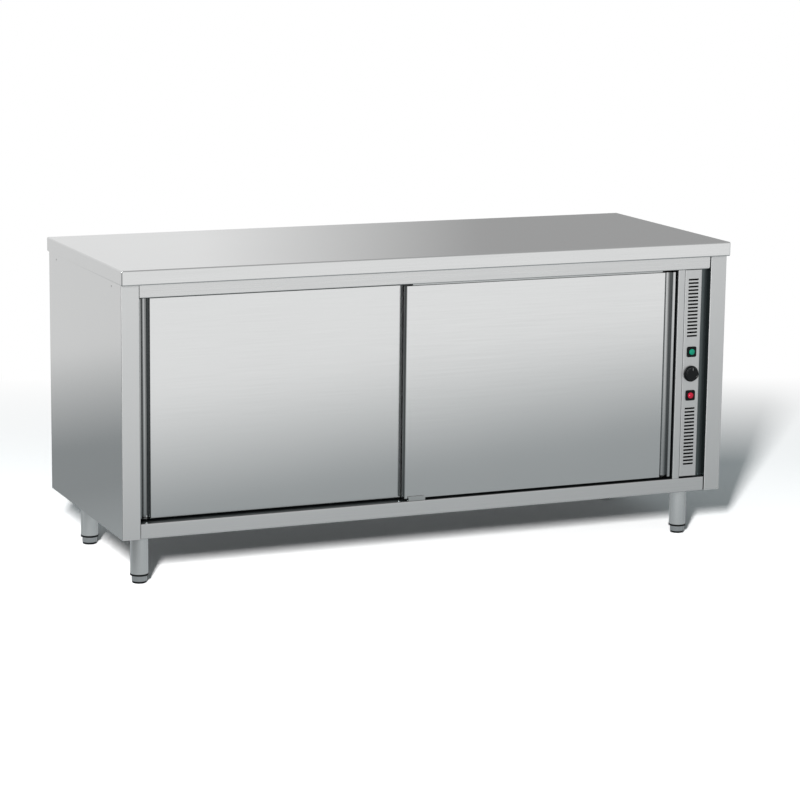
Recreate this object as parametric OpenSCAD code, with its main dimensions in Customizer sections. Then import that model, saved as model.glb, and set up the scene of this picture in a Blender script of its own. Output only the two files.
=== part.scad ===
// Plate warmer cabinet: a heated stainless-steel cupboard under a worktop, with two sliding doors
// that hang from a double track, and a control column at the right.
// Millimetres. +X is to the right, -Y is the front, +Z is up. The floor is z = 0 and the origin is
// under the middle of the worktop.

/* [Overall size] */
// Width of the worktop
top_w = 1800; // [1500:10:2200]
// Depth of the worktop
top_d = 700; // [620:10:850]
// Height of the worktop's upper face above the floor
top_h = 850; // [800:5:950]

/* [Worktop] */
// Height of the folded edge
edge_h = 40; // [30:1:60]
// Steel thickness
top_sheet = 1.5; // [1:0.1:2]
// Inside radius of the bends and of the corners
top_bend = 2; // [1:0.5:4]
// Width of the flange folded in underneath
top_flange = 25; // [20:1:35]
// Thickness of the stiffening board under the steel
board_t = 18; // [12:1:24]
// Overhang at each side of the carcass
over_side = 3; // [2:1:20]
// Overhang at the front of the carcass
over_front = 15; // [15:1:22]
// Overhang at the back of the carcass
over_back = 10; // [2:1:22]

/* [Carcass] */
// Height of the carcass above the floor
carcass_z = 130; // [110:5:180]
// Steel thickness of the carcass and the liners
sheet = 1; // [0.8:0.1:1.6]
// Inside radius of the carcass bends
bend = 1.5; // [1:0.5:3]
// Width of the stile at each front corner
stile_w = 50; // [40:1:65]
// Depth of the return behind each stile
stile_return = 22; // [20:1:24]
// Width of the flange at the rear edge of each side panel
rear_flange = 25; // [15:1:35]
// Height of the top rail
top_rail_h = 36; // [36:1:50]
// Height of the bottom rail
bottom_rail_h = 41; // [36:1:60]
// Depth of the sill that the bottom rail makes under the doors
sill_d = 64; // [60:1:80]
// Seam between the rails and the right stile
rail_seam = 4; // [1:0.5:6]
// Radius of the top rail's lower right corner
rail_corner = 8; // [2:1:12]
// Thickness of the insulated back wall
back_wall = 30; // [20:1:50]
// Diameter of the two joining holes in each side
side_hole_d = 4.5; // [3:0.5:7]
// Depth of the front joining hole behind the carcass front
side_hole_in = 83; // [60:1:120]
// Distance between the two joining holes
side_hole_gap = 517; // [400:1:540]
// Depth of the joining holes under the top of the carcass
side_hole_drop = 13; // [8:1:20]

/* [Control column] */
// Width of the post beside the door opening
post_w = 22; // [16:1:40]
// Depth of the post
post_d = 50; // [40:1:60]
// Width of the control panel
panel_w = 54; // [54:1:80]
// Depth of the control panel's side flanges
panel_flange = 20; // [16:1:20]
// Width of the recess between the panel and the right stile
recess_w = 28; // [15:1:40]
// Gap under the control panel
panel_foot_gap = 6; // [2:1:10]
// Gap above the control panel
panel_head_gap = 1; // [0.5:0.5:4]
// Height of the knob's centre above the middle of the panel
knob_up = 0; // [-10:1:10]
// Distance from the knob's centre to each lamp's centre
lamp_pitch = 63; // [50:1:75]
// Largest number of ventilation slots in each group
vent_n = 17; // [8:1:18]
// Length of a ventilation slot
vent_l = 32; // [20:1:40]
// Height of a ventilation slot
vent_h = 5; // [3:0.5:7]
// Distance from one ventilation slot to the next
vent_pitch = 10.1; // [8:0.1:10.5]
// Distance from the panel's top to the first slot's centre
vent_head = 27.5; // [15:0.5:35]
// Distance from the panel's foot to the lowest slot's centre
vent_foot = 35.5; // [15:0.5:40]

/* [Knob and lamps] */
// Diameter of the knob's skirt
knob_d = 46; // [36:1:48]
// Depth of the whole knob
knob_h = 13.5; // [11:0.5:13.5]
// Thickness of the knob's skirt
skirt_h = 3.5; // [2:0.5:5]
// Diameter of the knob's fluted grip
grip_d = 38; // [28:1:40]
// Number of flutes around the grip
flute_n = 24; // [12:1:30]
// Diameter of a flute
flute_d = 3.2; // [2:0.2:3.4]
// Width of the bevel around the skirt
knob_bevel = 1.5; // [0.5:0.5:2.5]
// Width of the flat rim around the knob's dished face
rim_w = 3.2; // [2:0.2:5]
// Depth of the dish in the knob's face
dish = 0.8; // [0.4:0.1:1.2]
// Width of the pointer groove
pointer_w = 2; // [1:0.5:3]
// Gap between the knob and the panel
knob_gap = 0.5; // [0.3:0.1:0.5]
// Diameter of the thermostat's spindle
spindle_d = 6; // [5:0.5:8]
// Width of the square lamp bezel
bezel_w = 30; // [24:1:36]
// Corner radius of the lamp bezel
bezel_r = 5; // [2:0.5:8]
// Thickness of the lamp bezel
bezel_t = 2.5; // [1.5:0.5:4]
// Diameter of the lamp's lens
lens_d = 17; // [12:1:20]
// Height of the lens above the bezel
lens_h = 5; // [3:0.5:7]
// Diameter of the lamp's barrel behind the panel
barrel_d = 22; // [21:0.5:23]
// Length of the lamp's barrel
barrel_l = 24; // [16:1:30]
// Width and height of the thermostat's body
thermostat_w = 44; // [30:1:48]
// Depth of the thermostat's body
thermostat_d = 40; // [25:1:50]

/* [Doors] */
// Thickness of a door
door_t = 16; // [16:1:18]
// Steel thickness of a door
door_sheet = 1; // [0.8:0.1:1.2]
// Inside radius of a door's bends
door_bend = 1; // [0.6:0.1:1.2]
// Overlap of the two closed doors
door_overlap = 73; // [40:1:120]
// Depth of the front door's face behind the carcass front
door_recess = 9; // [8:1:12]
// Gap between the two doors
door_gap = 7; // [6:0.5:9]
// Gap between a closed door and the side of its opening
door_side = 3; // [2:0.5:5]
// Gap under the doors
door_foot = 5; // [4:0.5:7]
// Gap between the doors and the top rail
door_head = 5; // [4:0.5:7]
// Radius of the finger groove
groove_r = 12; // [9:0.5:12.5]
// Width of the lip outside the finger groove
lip_w = 10.5; // [6:0.5:16]

/* [Door gear] */
// Thickness of the hanger bar
hanger_t = 3; // [2:0.5:3.5]
// Distance from the door's end to the hanger bar
hanger_in = 20; // [10:1:40]
// Distance from the hanger bar's end to the roller
roller_in = 60; // [30:1:120]
// Diameter of a roller
roller_d = 22; // [18:1:23]
// Width of a roller
roller_w = 6; // [5:0.5:6.5]
// Diameter of a roller's axle
axle_d = 5; // [4:0.5:6]
// Thickness of the track
track_t = 2.2; // [1.5:0.1:2.5]
// Height of the track's ledge above the top rail's lower edge
ledge_up = 6; // [5:0.5:6]
// Width of a track stop
stop_w = 14; // [8:1:25]
// Width of the door guide
guide_w = 50; // [30:1:70]
// Height of the guide's fingers above the sill
guide_h = 12; // [10:1:16]
// Thickness of the guide's fingers
guide_t = 3; // [2:0.5:3.5]

/* [Shelf] */
// Height of the shelf's upper face above the floor
shelf_z = 470; // [440:5:490]
// Height of the shelf's folded edge
shelf_edge = 25; // [15:1:40]
// Gap around the shelf
shelf_gap = 1; // [0.5:0.5:3]
// Distance from the rear door to the shelf
shelf_front = 22; // [15:1:60]
// Width of the angles that carry the shelf
angle_w = 20; // [12:1:30]
// Number of slots along the shelf
shelf_cols = 14; // [6:1:16]
// Number of rows of slots
shelf_rows = 3; // [2:1:4]
// Length of a slot in the shelf
shelf_slot_l = 70; // [40:1:80]
// Width of a slot in the shelf
shelf_slot_w = 10; // [6:1:14]

/* [Heating] */
// Diameter of the fan
fan_d = 130; // [100:1:134]
// Width of the fan
fan_w = 22; // [16:1:22]
// Gap between the partition and the fan
fan_gap = 6; // [4:0.5:7]
// Diameter of the fan's hub
hub_d = 24; // [18:1:30]
// Diameter of the motor's shaft
shaft_d = 8; // [6:0.5:10]
// Number of fan blades
blade_n = 6; // [4:1:8]
// Height of the fan's centre above the floor
fan_z = 308; // [300:1:320]
// Distance of the fan's centre behind the middle
fan_y = 20; // [0:1:40]
// Diameter of the fan's grille in the partition
grille_d = 150; // [120:1:156]
// Diameter of the heater's ring, at the middle of its tube
heater_d = 168; // [164:1:172]
// Diameter of the heater's tube
heater_tube = 8; // [6:0.5:10]
// Angle between the heater's two ends, seen from its middle
heater_ends = 24; // [20:1:40]
// Distance from the partition to the motor's plate
plate_gap = 34; // [34:1:38]
// Thickness of the motor's plate
plate_t = 2; // [1.5:0.5:4]
// Diameter of the circle of the motor plate's spacers
spacer_pcd = 200; // [194:1:210]
// Diameter of a spacer
spacer_d = 10; // [6:0.5:12]
// Diameter of the motor
motor_d = 82; // [60:1:90]
// Length of the motor
motor_l = 50; // [40:1:60]
// Length of a return-air slot in the partition
air_slot_l = 70; // [40:1:80]
// Width of a return-air slot
air_slot_w = 8; // [5:0.5:10]
// Width of a mains cable that passes the gland
gland_bore = 10; // [8:0.5:12]
// Distance from the door opening's side to the gland
gland_in = 97; // [90:1:110]
// Distance from the carcass back to the gland
gland_back = 55; // [45:1:75]

/* [Legs] */
// Diameter of a leg
leg_d = 48; // [44:0.5:50]
// Wall of a leg
leg_wall = 1.5; // [1:0.1:2.5]
// Thickness of the disc that closes a leg
leg_disc = 3; // [2:0.5:5]
// Distance from the carcass side to the left legs' centres
leg_in_left = 61; // [50:1:120]
// Distance from the carcass front to the front legs' centres
leg_in_front = 52; // [40:1:90]
// Distance from the carcass back to the rear legs' centres
leg_in_back = 165; // [60:1:200]
// Diameter of the stud that fixes a leg to the carcass
leg_stud_d = 10; // [8:0.5:12]
// Diameter of the collar at the foot of a leg
collar_d = 50; // [50:0.5:54]
// Height of the collar
collar_h = 5; // [3:0.5:8]
// Diameter of an adjustable foot
foot_d = 41; // [34:0.5:44]
// Height of the foot's steel cap
cap_h = 15; // [12:0.5:20]
// Wall of the cap
cap_wall = 1.5; // [1:0.1:2]
// Height of the foot's pad under the cap
pad_h = 6; // [4:0.5:8]
// Diameter of the foot's threaded stud
foot_stud_d = 12; // [10:0.5:14]
// How far a foot screws out
foot_travel = 30; // [15:1:35]

/* [Hidden] */
$fn = 48;

// Clearances
fit = 0.3;          // parts that lie beside each other
run = 0.05;         // radial clearance of a turning fit
cut = 1;            // how far a cutter passes its face

// Carcass planes
left_x = -top_w / 2 + over_side;
right_x = top_w / 2 - over_side;
front_y = -top_d / 2 + over_front;
back_y = top_d / 2 - over_back;
carcass_top = top_h - edge_h;
sill_z = carcass_z + bottom_rail_h;
lintel_z = carcass_top - top_rail_h;
side_hole_z = carcass_top - side_hole_drop;
side_hole_y = front_y + side_hole_in;
return_y = front_y + stile_return;

// Columns from left to right
open_x0 = left_x + stile_w;
right_stile_x = right_x - stile_w;
panel_x1 = right_stile_x - recess_w;
panel_x0 = panel_x1 - panel_w;
panel_cx = (panel_x0 + panel_x1) / 2;
open_x1 = panel_x0 - post_w;
open_cx = (open_x0 + open_x1) / 2;
inner_back = back_y - back_wall;

// Doors
door_w = (open_x1 - open_x0 - 2 * door_side + door_overlap) / 2;
door_travel = open_x1 - open_x0 - 2 * door_side - door_w;
door_z0 = sill_z + door_foot;
door_z1 = lintel_z - door_head;
front_door_y = front_y + door_recess;
rear_door_y = front_door_y + door_t + door_gap;
front_door_x = open_x1 - door_side - door_w;
groove_x = door_w - lip_w - groove_r;

// Door gear, in the door's own frame: x from its plain end, y from its face
hanger_stop = 8;    // from the groove to the hanger bar
hanger_base = 2;    // thickness of the hanger's foot
roller_side = 0.5;  // from the hanger bar to a roller
roller_lift = 0.25; // between a roller and its ledge
roller_bevel = 0.6; // bevel of a roller's edges
axle_head = 1.1;    // thickness of an axle's head
gear_gap = 3;       // from the track's back to the end of the top rail's flange
lintel_gap = 2;     // from the top rail's lower flange to a door's face
guide_side = 2;     // from a door to the guide's outer fingers
guide_base = 1.5;   // thickness of the guide's foot
hanger_x0 = hanger_in;
hanger_x1 = groove_x - groove_r - hanger_stop;
web_y = door_sheet + door_bend;
roller_y = web_y + hanger_t + roller_side;
track_y = roller_y + roller_w + axle_head + 2 * fit;
ledge_z = lintel_z + ledge_up;
track_top = carcass_top - sheet;
axle_z = ledge_z + roller_lift + roller_d / 2;
roller_x = [hanger_x0 + roller_in, hanger_x1 - roller_in];
gear_back_y = rear_door_y + track_y + track_t;
rail_back_y = gear_back_y + gear_gap;
ceiling_y = rail_back_y + cut;
lintel_flange = door_recess - lintel_gap;

// Control panel
panel_z0 = sill_z + panel_foot_gap;
panel_z1 = lintel_z - panel_head_gap;
knob_z = (panel_z0 + panel_z1) / 2 + knob_up;
lamp_z = [knob_z + lamp_pitch, knob_z - lamp_pitch];
lamp_reach = lamp_pitch + bezel_w / 2 + vent_h;
vent_top = panel_z1 - vent_head;
vent_base = panel_z0 + vent_foot;
upper_vents = min(vent_n, 1 + floor((vent_top - knob_z - lamp_reach) / vent_pitch));
lower_vents = min(vent_n, 1 + floor((knob_z - lamp_reach - vent_base) / vent_pitch));
bushing_d = spindle_d + 4;
spindle_reach = 16; // how far the spindle enters the thermostat
dial_half = min(thermostat_w, panel_w - 2 * sheet - 2) / 2;
tab_w = 5;          // width of an electric tab
tab_t = 0.8;        // thickness of an electric tab
tab_l = 9;          // length of an electric tab
lens_seat = 1;      // depth of the lens in its bezel
recess_lip = 14;    // depth of the flange that the recess fixes to

// Compartment
floor_lip = 16;     // height of the floor's flange behind the sill
wool_gap = 6;       // from the wool over the ceiling to the track's plate
wall_flange = 18;   // width of the partition's flanges
grille_n = 9;       // bars of the fan's grille
grille_open = 0.6;  // open share of the grille
air_rows = 8;       // rows of return-air slots
air_drop = 70;      // from the shelf to the first row
air_rise = 20;      // from row to row
air_step = 90;      // from slot to slot in a row

// Technical bay
bay_x = open_x1 + sheet;
fan_x = bay_x + fan_gap;
plate_x = bay_x + plate_gap;
hub_gap = 5;        // from the hub to the motor's plate
disc_t = 1.5;       // thickness of the fan's back disc
blade_t = 1.6;      // thickness of a blade
blade_in = 3;       // from a blade's tip to the rim of the disc
plate_rim = 16;     // how much the plate is wider than its spacers' circle
boss_d = 20;        // diameter of the bearing boss
boss_h = 4;         // height of the bearing boss
block = [60, 26, 22];   // terminal block
block_in = 60;      // from the partition to the terminal block
block_back = 110;   // from the carcass back to the terminal block's front
block_step = 6;     // width of the block's lower ledges
block_base = 12;    // height of the block's lower ledges
clamp_n = 5;        // clamps in the block
clamp_d = 5;        // diameter of a clamp's screw well

// Gland
gland_xy = [open_x1 + gland_in, back_y - gland_back];
gland_thread = gland_bore + 6;
gland_hex = (gland_thread + 8) / cos(30);
gland_nut = 10;     // height of its hexagon
gland_l = 22;       // length below the bottom panel
gland_stub = 8;     // length above the bottom panel
locknut = 5;        // height of its nut inside

// Legs and feet
leg_xy = [[left_x + leg_in_left, front_y + leg_in_front], [panel_cx, front_y + leg_in_front],
    [left_x + leg_in_left, back_y - leg_in_back], [panel_cx, back_y - leg_in_back]];
collar_z = pad_h + cap_h;
leg_z = collar_z + collar_h;
plug_h = foot_travel + 8;
nut_h = 8;          // height of the nut that holds a leg
stud_end = 2;       // how far a leg's stud passes its nut
foot_bevel = 1;     // bevel at a cap's top and a stud's end
pad_in = 1;         // how much smaller the pad is than the cap
pad_bevel = 1.5;    // bevel at the foot of the pad

// ---- Shapes that repeat ----

// A box between two corners
module box(a, b) {
    translate(a) cube(b - a);
}

// A rectangle with round corners, between two corners
module round_rect(a, b, r) {
    translate([a.x + r, a.y]) square([b.x - a.x - 2 * r, b.y - a.y]);
    translate([a.x, a.y + r]) square([b.x - a.x, b.y - a.y - 2 * r]);
    for (x = [a.x + r, b.x - r], y = [a.y + r, b.y - r])
        translate([x, y]) circle(r);
}

// A profile in the YZ plane, run along X
module along_x(x0, x1) {
    translate([x0, 0, 0]) rotate([90, 0, 90]) linear_extrude(x1 - x0) children();
}

// A profile in the XZ plane, run along Y
module along_y(y0, y1) {
    translate([0, y1, 0]) rotate([90, 0, 0]) linear_extrude(y1 - y0) children();
}

// A round bar along X or along Y
module bar_x(x0, x1, y, z, d) {
    translate([x0, y, z]) rotate([0, 90, 0]) cylinder(h = x1 - x0, d = d);
}
module bar_y(y0, y1, x, z, d) {
    translate([x, y0, z]) rotate([-90, 0, 0]) cylinder(h = y1 - y0, d = d);
}

// A closed box bent from sheet, as a profile of wall t and inside radius r
module sheet_ring(a, b, t, r) {
    difference() {
        round_rect(a, b, r + t);
        round_rect(a + [t, t], b - [t, t], r);
    }
}

// A slot with round ends, centred, its length along the first axis
module obround(l, w) {
    square([l - w, w], center = true);
    for (s = [-1, 1]) translate([s * (l - w) / 2, 0]) circle(d = w);
}

// A block with every edge rounded
module soft_block(a, b, r) {
    intersection() {
        translate([0, 0, a.z]) linear_extrude(b.z - a.z) round_rect([a.x, a.y], [b.x, b.y], r);
        along_x(a.x, b.x) round_rect([a.y, a.z], [b.y, b.z], r);
        along_y(a.y, b.y) round_rect([a.x, a.z], [b.x, b.z], r);
    }
}

// ---- Worktop ----

// Steel top with its edge folded down and in
module worktop() {
    t = top_sheet;
    a = [-top_w / 2, -top_d / 2, carcass_top];
    b = [top_w / 2, top_d / 2, top_h];
    color("#c9cccd") difference() {
        soft_block(a, b, top_bend + t);
        soft_block(a + [t, t, t], b - [t, t, t], top_bend);
        box([a.x + top_flange, a.y + top_flange, a.z - cut],
            [b.x - top_flange, b.y - top_flange, a.z + t + cut]);
    }
}

// Board bonded under the steel
module worktop_board() {
    in = top_sheet + top_bend;
    color("#8a6f4d") box([-top_w / 2 + in, -top_d / 2 + in, top_h - top_sheet - board_t],
        [top_w / 2 - in, top_d / 2 - in, top_h - top_sheet]);
}

// ---- Carcass ----

// Side panel at the left: wall, front stile with its return, rear flange and two joining holes
module side_shell() {
    difference() {
        translate([0, 0, carcass_z]) linear_extrude(carcass_top - carcass_z) difference() {
            sheet_ring([left_x, front_y], [open_x0, back_y], sheet, bend);
            translate([left_x + rear_flange, return_y]) square([stile_w, back_y - return_y + cut]);
        }
        for (y = [side_hole_y, side_hole_y + side_hole_gap])
            bar_x(left_x - cut, left_x + 2 * sheet, y, side_hole_z, side_hole_d);
    }
}

module left_side_panel() {
    color("#c2c5c6") side_shell();
}

module right_side_panel() {
    color("#c2c5c6") mirror([1, 0, 0]) side_shell();
}

// Back panel, inside the rear flanges of the sides
module back_panel() {
    in = sheet + bend + fit;
    color("#b4b7b8") box([left_x + in, back_y - 2 * sheet, carcass_z + sheet],
        [right_x - in, back_y - sheet, carcass_top]);
}

// Bottom sheet behind the stiles, with the holes for the leg studs and the cable gland
module bottom_panel() {
    color("#9fa2a3") difference() {
        translate([0, 0, carcass_z]) linear_extrude(sheet)
            round_rect([left_x + sheet, return_y + fit], [right_x - sheet, back_y - sheet], bend + fit);
        for (p = leg_xy) translate([p.x, p.y, carcass_z - cut])
            cylinder(h = sheet + 2 * cut, d = leg_stud_d + 1);
        translate([gland_xy.x, gland_xy.y, carcass_z - cut])
            cylinder(h = sheet + 2 * cut, d = gland_thread + 2 * fit);
    }
}

// A rail's profile: its face at the front, bent back to an upper and a lower flange
module rail_profile(z0, z1, upper, lower) {
    far = upper + lower + sheet + bend;
    difference() {
        sheet_ring([front_y, z0], [front_y + far, z1], sheet, bend);
        translate([front_y + lower, z0 - cut]) square([far, z1 - sheet - z0 + cut]);
        translate([front_y + upper, z0 - cut]) square([far, z1 - z0 + 2 * cut]);
    }
}

// Top rail: face, upper flange that holds the track, short lower flange
module top_rail() {
    x1 = right_stile_x - rail_seam;
    color("#c2c5c6") difference() {
        along_x(open_x0 + fit, x1) rail_profile(lintel_z, carcass_top, rail_back_y - front_y, lintel_flange);
        // The corner beside the right stile is rounded off
        along_y(front_y - cut, rail_back_y + cut) difference() {
            translate([x1 - rail_corner, lintel_z - cut]) square(rail_corner + cut);
            translate([x1 - rail_corner, lintel_z + rail_corner]) circle(rail_corner);
        }
    }
}

// Bottom rail: face, sill under the doors, lower flange
module bottom_rail() {
    color("#bcbfc0") along_x(open_x0 + fit, right_stile_x - rail_seam)
        rail_profile(carcass_z, sill_z, sill_d, stile_return);
}

// ---- Heated compartment ----

module left_liner() {
    color("#a9acad") box([open_x0 - sheet, return_y + fit, sill_z - sheet],
        [open_x0, inner_back + sheet, lintel_z + sheet]);
}

module back_liner() {
    color("#a9acad") box([open_x0, inner_back, sill_z], [open_x1, inner_back + sheet, lintel_z]);
}

// Ceiling, turned up at the front to close the track space
module ceiling_liner() {
    color("#a9acad") {
        box([open_x0, ceiling_y, lintel_z], [open_x1, inner_back + sheet, lintel_z + sheet]);
        box([open_x0, ceiling_y, lintel_z], [open_x1, ceiling_y + sheet, track_top]);
    }
}

// Floor, turned down behind the sill
module inner_floor() {
    y0 = front_y + sill_d + fit;
    color("#a9acad") {
        box([open_x0, y0, sill_z - sheet], [open_x1, inner_back + sheet, sill_z]);
        box([open_x0, y0, sill_z - floor_lip], [open_x1, y0 + sheet, sill_z]);
    }
}

// Mineral wool: left wall, back wall, floor and ceiling
module insulation() {
    wall_x0 = left_x + sheet + fit;
    wall_x1 = open_x0 - sheet - fit;
    floor_z0 = carcass_z + sheet + fit;
    floor_z1 = sill_z - sheet - fit;
    back0 = inner_back + sheet + fit;
    back1 = back_y - 2 * sheet - fit;
    color("#d8cf9a") {
        box([wall_x0, return_y + fit, sill_z], [wall_x1, back1, lintel_z]);
        box([open_x0, back0, sill_z], [open_x1 - fit, back1, lintel_z]);
        box([open_x0, ceiling_y + sheet + fit, lintel_z + sheet + fit],
            [open_x1 - fit, back1, track_top - wool_gap]);
        difference() {
            box([wall_x0, front_y + sill_d + 2 * fit + sheet, floor_z0], [open_x1 - fit, back1, floor_z1]);
            for (p = leg_xy) translate([p.x, p.y, floor_z0 - cut])
                cylinder(h = 2 * nut_h, d = 2.6 * leg_stud_d);
        }
    }
}

// Partition to the technical bay, with the fan's grille and the return-air slots
module heater_partition() {
    y0 = front_y + post_d;
    pitch = grille_d / grille_n;
    middle = (grille_n - 1) / 2;
    color("#a9acad") difference() {
        union() {
            box([open_x1, y0, sill_z], [bay_x, inner_back + sheet, lintel_z]);
            for (y = [y0, inner_back])
                box([open_x1, y, sill_z], [open_x1 + wall_flange, y + sheet, lintel_z]);
        }
        for (i = [-middle:middle]) {
            chord = 2 * sqrt(pow(grille_d / 2, 2) - pow(i * pitch, 2));
            translate([open_x1 - cut, fan_y - chord / 2, fan_z + (i - grille_open / 2) * pitch])
                cube([sheet + 2 * cut, chord, pitch * grille_open]);
        }
        for (i = [0:air_rows - 1], j = [-1:1])
            translate([open_x1 - cut, fan_y + j * air_step, shelf_z + air_drop + i * air_rise])
                rotate([90, 0, 90]) linear_extrude(sheet + 2 * cut) obround(air_slot_l, air_slot_w);
    }
}

// Channel-shaped post beside the door opening
module partition_post() {
    color("#c2c5c6") translate([0, 0, sill_z]) linear_extrude(lintel_z - sill_z) difference() {
        sheet_ring([open_x1, front_y], [panel_x0, front_y + 2 * post_d], sheet, bend);
        translate([open_x1 - cut, front_y + post_d]) square([post_w + 2 * cut, post_d + cut]);
    }
}

// ---- Controls ----

// Front of the column: side flanges, two groups of slots, holes for the knob and the lamps
module control_panel() {
    y1 = front_y + sheet + cut;
    slots = concat([for (i = [0:upper_vents - 1]) vent_top - i * vent_pitch],
        [for (i = [0:lower_vents - 1]) vent_base + i * vent_pitch]);
    color("#c2c5c6") difference() {
        translate([0, 0, panel_z0]) linear_extrude(panel_z1 - panel_z0) difference() {
            sheet_ring([panel_x0, front_y], [panel_x1, front_y + 2 * panel_flange], sheet, bend);
            translate([panel_x0 - cut, front_y + panel_flange])
                square([panel_w + 2 * cut, panel_flange + cut]);
        }
        for (z = slots) box([panel_cx - vent_l / 2, front_y - cut, z - vent_h / 2],
            [panel_cx + vent_l / 2, y1, z + vent_h / 2]);
        bar_y(front_y - cut, y1, panel_cx, knob_z, bushing_d + fit);
        for (z = lamp_z) bar_y(front_y - cut, y1, panel_cx, z, barrel_d + fit);
    }
}

// Closes the recess between the control panel and the right stile
module recess_channel() {
    y = front_y + panel_flange;
    color("#9a9d9e") {
        box([panel_x1 - sheet, y, sill_z], [right_stile_x, y + sheet, lintel_z]);
        box([panel_x1 - sheet, y, sill_z], [panel_x1, y + recess_lip, lintel_z]);
    }
}

// Two electric tabs side by side, pointing to the back
module tabs(y, z, apart) {
    for (s = [-1, 1]) translate([panel_cx + s * apart / 2 - tab_w / 2, y - 1, z - tab_t / 2])
        cube([tab_w, tab_l + 1, tab_t]);
}

// Thermostat behind the panel, its bushing in the panel's hole
module thermostat() {
    y = front_y + sheet;
    color("#3b3b3d") difference() {
        union() {
            soft_block([panel_cx - dial_half, y, knob_z - dial_half],
                [panel_cx + dial_half, y + thermostat_d, knob_z + dial_half], 2);
            bar_y(front_y, y + thermostat_d / 2, panel_cx, knob_z, bushing_d);
            tabs(y + thermostat_d, knob_z, dial_half);
        }
        bar_y(front_y - cut, y + spindle_reach, panel_cx, knob_z, spindle_d + 2 * run);
    }
}

// Turning shaft between the thermostat and the knob
module knob_spindle() {
    color("#aaadb0") bar_y(front_y - knob_gap - knob_h / 2, front_y + sheet + spindle_reach - 1, panel_cx,
        knob_z, spindle_d);
}

// Knob: bevelled skirt, fluted grip, dished face and a pointer groove at the top
module control_knob() {
    y0 = front_y - knob_gap;
    y1 = y0 - knob_h;
    skirt = knob_d / 2;
    grip = grip_d / 2;
    draft = 0.5;
    rim = grip - draft - 1;
    color("#1c1d1f") difference() {
        translate([panel_cx, y0, knob_z]) rotate([90, 0, 0]) rotate_extrude() polygon([[0, 0], [skirt, 0],
            [skirt, skirt_h - knob_bevel / 2], [skirt - knob_bevel, skirt_h], [grip + draft, skirt_h],
            [grip - draft, knob_h - 1], [rim, knob_h], [rim - rim_w, knob_h],
            [rim - rim_w - dish, knob_h - dish], [0, knob_h - dish]]);
        for (i = [0:flute_n - 1]) rotate_knob(i * 360 / flute_n)
            bar_y(y1 - cut, y0 - skirt_h, panel_cx, knob_z + grip + flute_d / 5, flute_d);
        box([panel_cx - pointer_w / 2, y1 - cut, knob_z + grip / 2],
            [panel_cx + pointer_w / 2, y1 + 1.5 * dish, knob_z + grip + cut]);
        bar_y(y0 - knob_h / 2, y0 + cut, panel_cx, knob_z, spindle_d);
    }
}

module rotate_knob(a) {
    translate([panel_cx, 0, knob_z]) rotate([0, a, 0]) translate([-panel_cx, 0, -knob_z]) children();
}

// Square bezel with its barrel through the panel
module lamp_bezel(z) {
    h = bezel_w / 2;
    color("#151618") difference() {
        union() {
            along_y(front_y - bezel_t, front_y)
                round_rect([panel_cx - h, z - h], [panel_cx + h, z + h], bezel_r);
            bar_y(front_y - bezel_t, front_y + barrel_l, panel_cx, z, barrel_d);
            tabs(front_y + barrel_l, z, 2 * tab_w);
        }
        bar_y(front_y - bezel_t - cut, front_y - bezel_t + lens_seat, panel_cx, z, lens_d + fit);
    }
}

// Domed lens, its lower half a cylinder
module lamp_lens(z, tint) {
    h = lens_h + lens_seat;
    ball = (pow(lens_d / 2, 2) + pow(lens_h / 2, 2)) / lens_h;
    color(tint) translate([panel_cx, front_y - bezel_t + lens_seat, z]) rotate([90, 0, 0]) {
        cylinder(h = h - lens_h / 2, d = lens_d);
        intersection() {
            cylinder(h = h, d = lens_d);
            translate([0, 0, h - ball]) sphere(ball);
        }
    }
}

// ---- Heating ----

// Ring heater round the fan, and the two cold ends that carry it on the motor plate
module heater_element() {
    x = fan_x + fan_w / 2;
    r = heater_d / 2;
    color("#6f6a66") {
        translate([x, fan_y, fan_z]) rotate([0, 90, 0])
            rotate_extrude() translate([r, 0]) circle(d = heater_tube);
        for (s = [-1, 1]) bar_x(x + heater_tube / 2 + run, plate_x, fan_y + s * sin(heater_ends / 2) * r,
            fan_z + cos(heater_ends / 2) * r, heater_tube);
    }
}

// Motor on a plate that stands off the partition on three spacers
module fan_motor() {
    color("#7c7f82") difference() {
        union() {
            bar_x(plate_x, plate_x + plate_t, fan_y, fan_z, spacer_pcd + plate_rim);
            bar_x(plate_x, plate_x + plate_t + motor_l, fan_y, fan_z, motor_d);
            bar_x(plate_x - boss_h, plate_x, fan_y, fan_z, boss_d);
            for (a = [90, 210, 330]) bar_x(bay_x, plate_x, fan_y + cos(a) * spacer_pcd / 2,
                fan_z - sin(a) * spacer_pcd / 2, spacer_d);
        }
        bar_x(plate_x - boss_h - cut, plate_x + motor_l / 2, fan_y, fan_z, shaft_d + 2 * run);
    }
}

// Fan: hub, shaft, back disc and backward-leaning blades
module fan_impeller() {
    lean = 25;
    color("#b8babc") {
        bar_x(fan_x, plate_x - hub_gap, fan_y, fan_z, hub_d);
        bar_x(fan_x, plate_x + motor_l / 2 - 1, fan_y, fan_z, shaft_d);
        bar_x(fan_x + fan_w - disc_t, fan_x + fan_w, fan_y, fan_z, fan_d);
        intersection() {
            bar_x(fan_x, fan_x + fan_w - disc_t / 2, fan_y, fan_z, fan_d - 2 * blade_in);
            for (i = [0:blade_n - 1]) translate([fan_x, fan_y, fan_z]) rotate([i * 360 / blade_n, 0, 0])
                translate([0, hub_d / 3, 0]) rotate([lean, 0, 0]) translate([0, 0, -blade_t / 2])
                    cube([fan_w, fan_d / 2, blade_t]);
        }
    }
}

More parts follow.
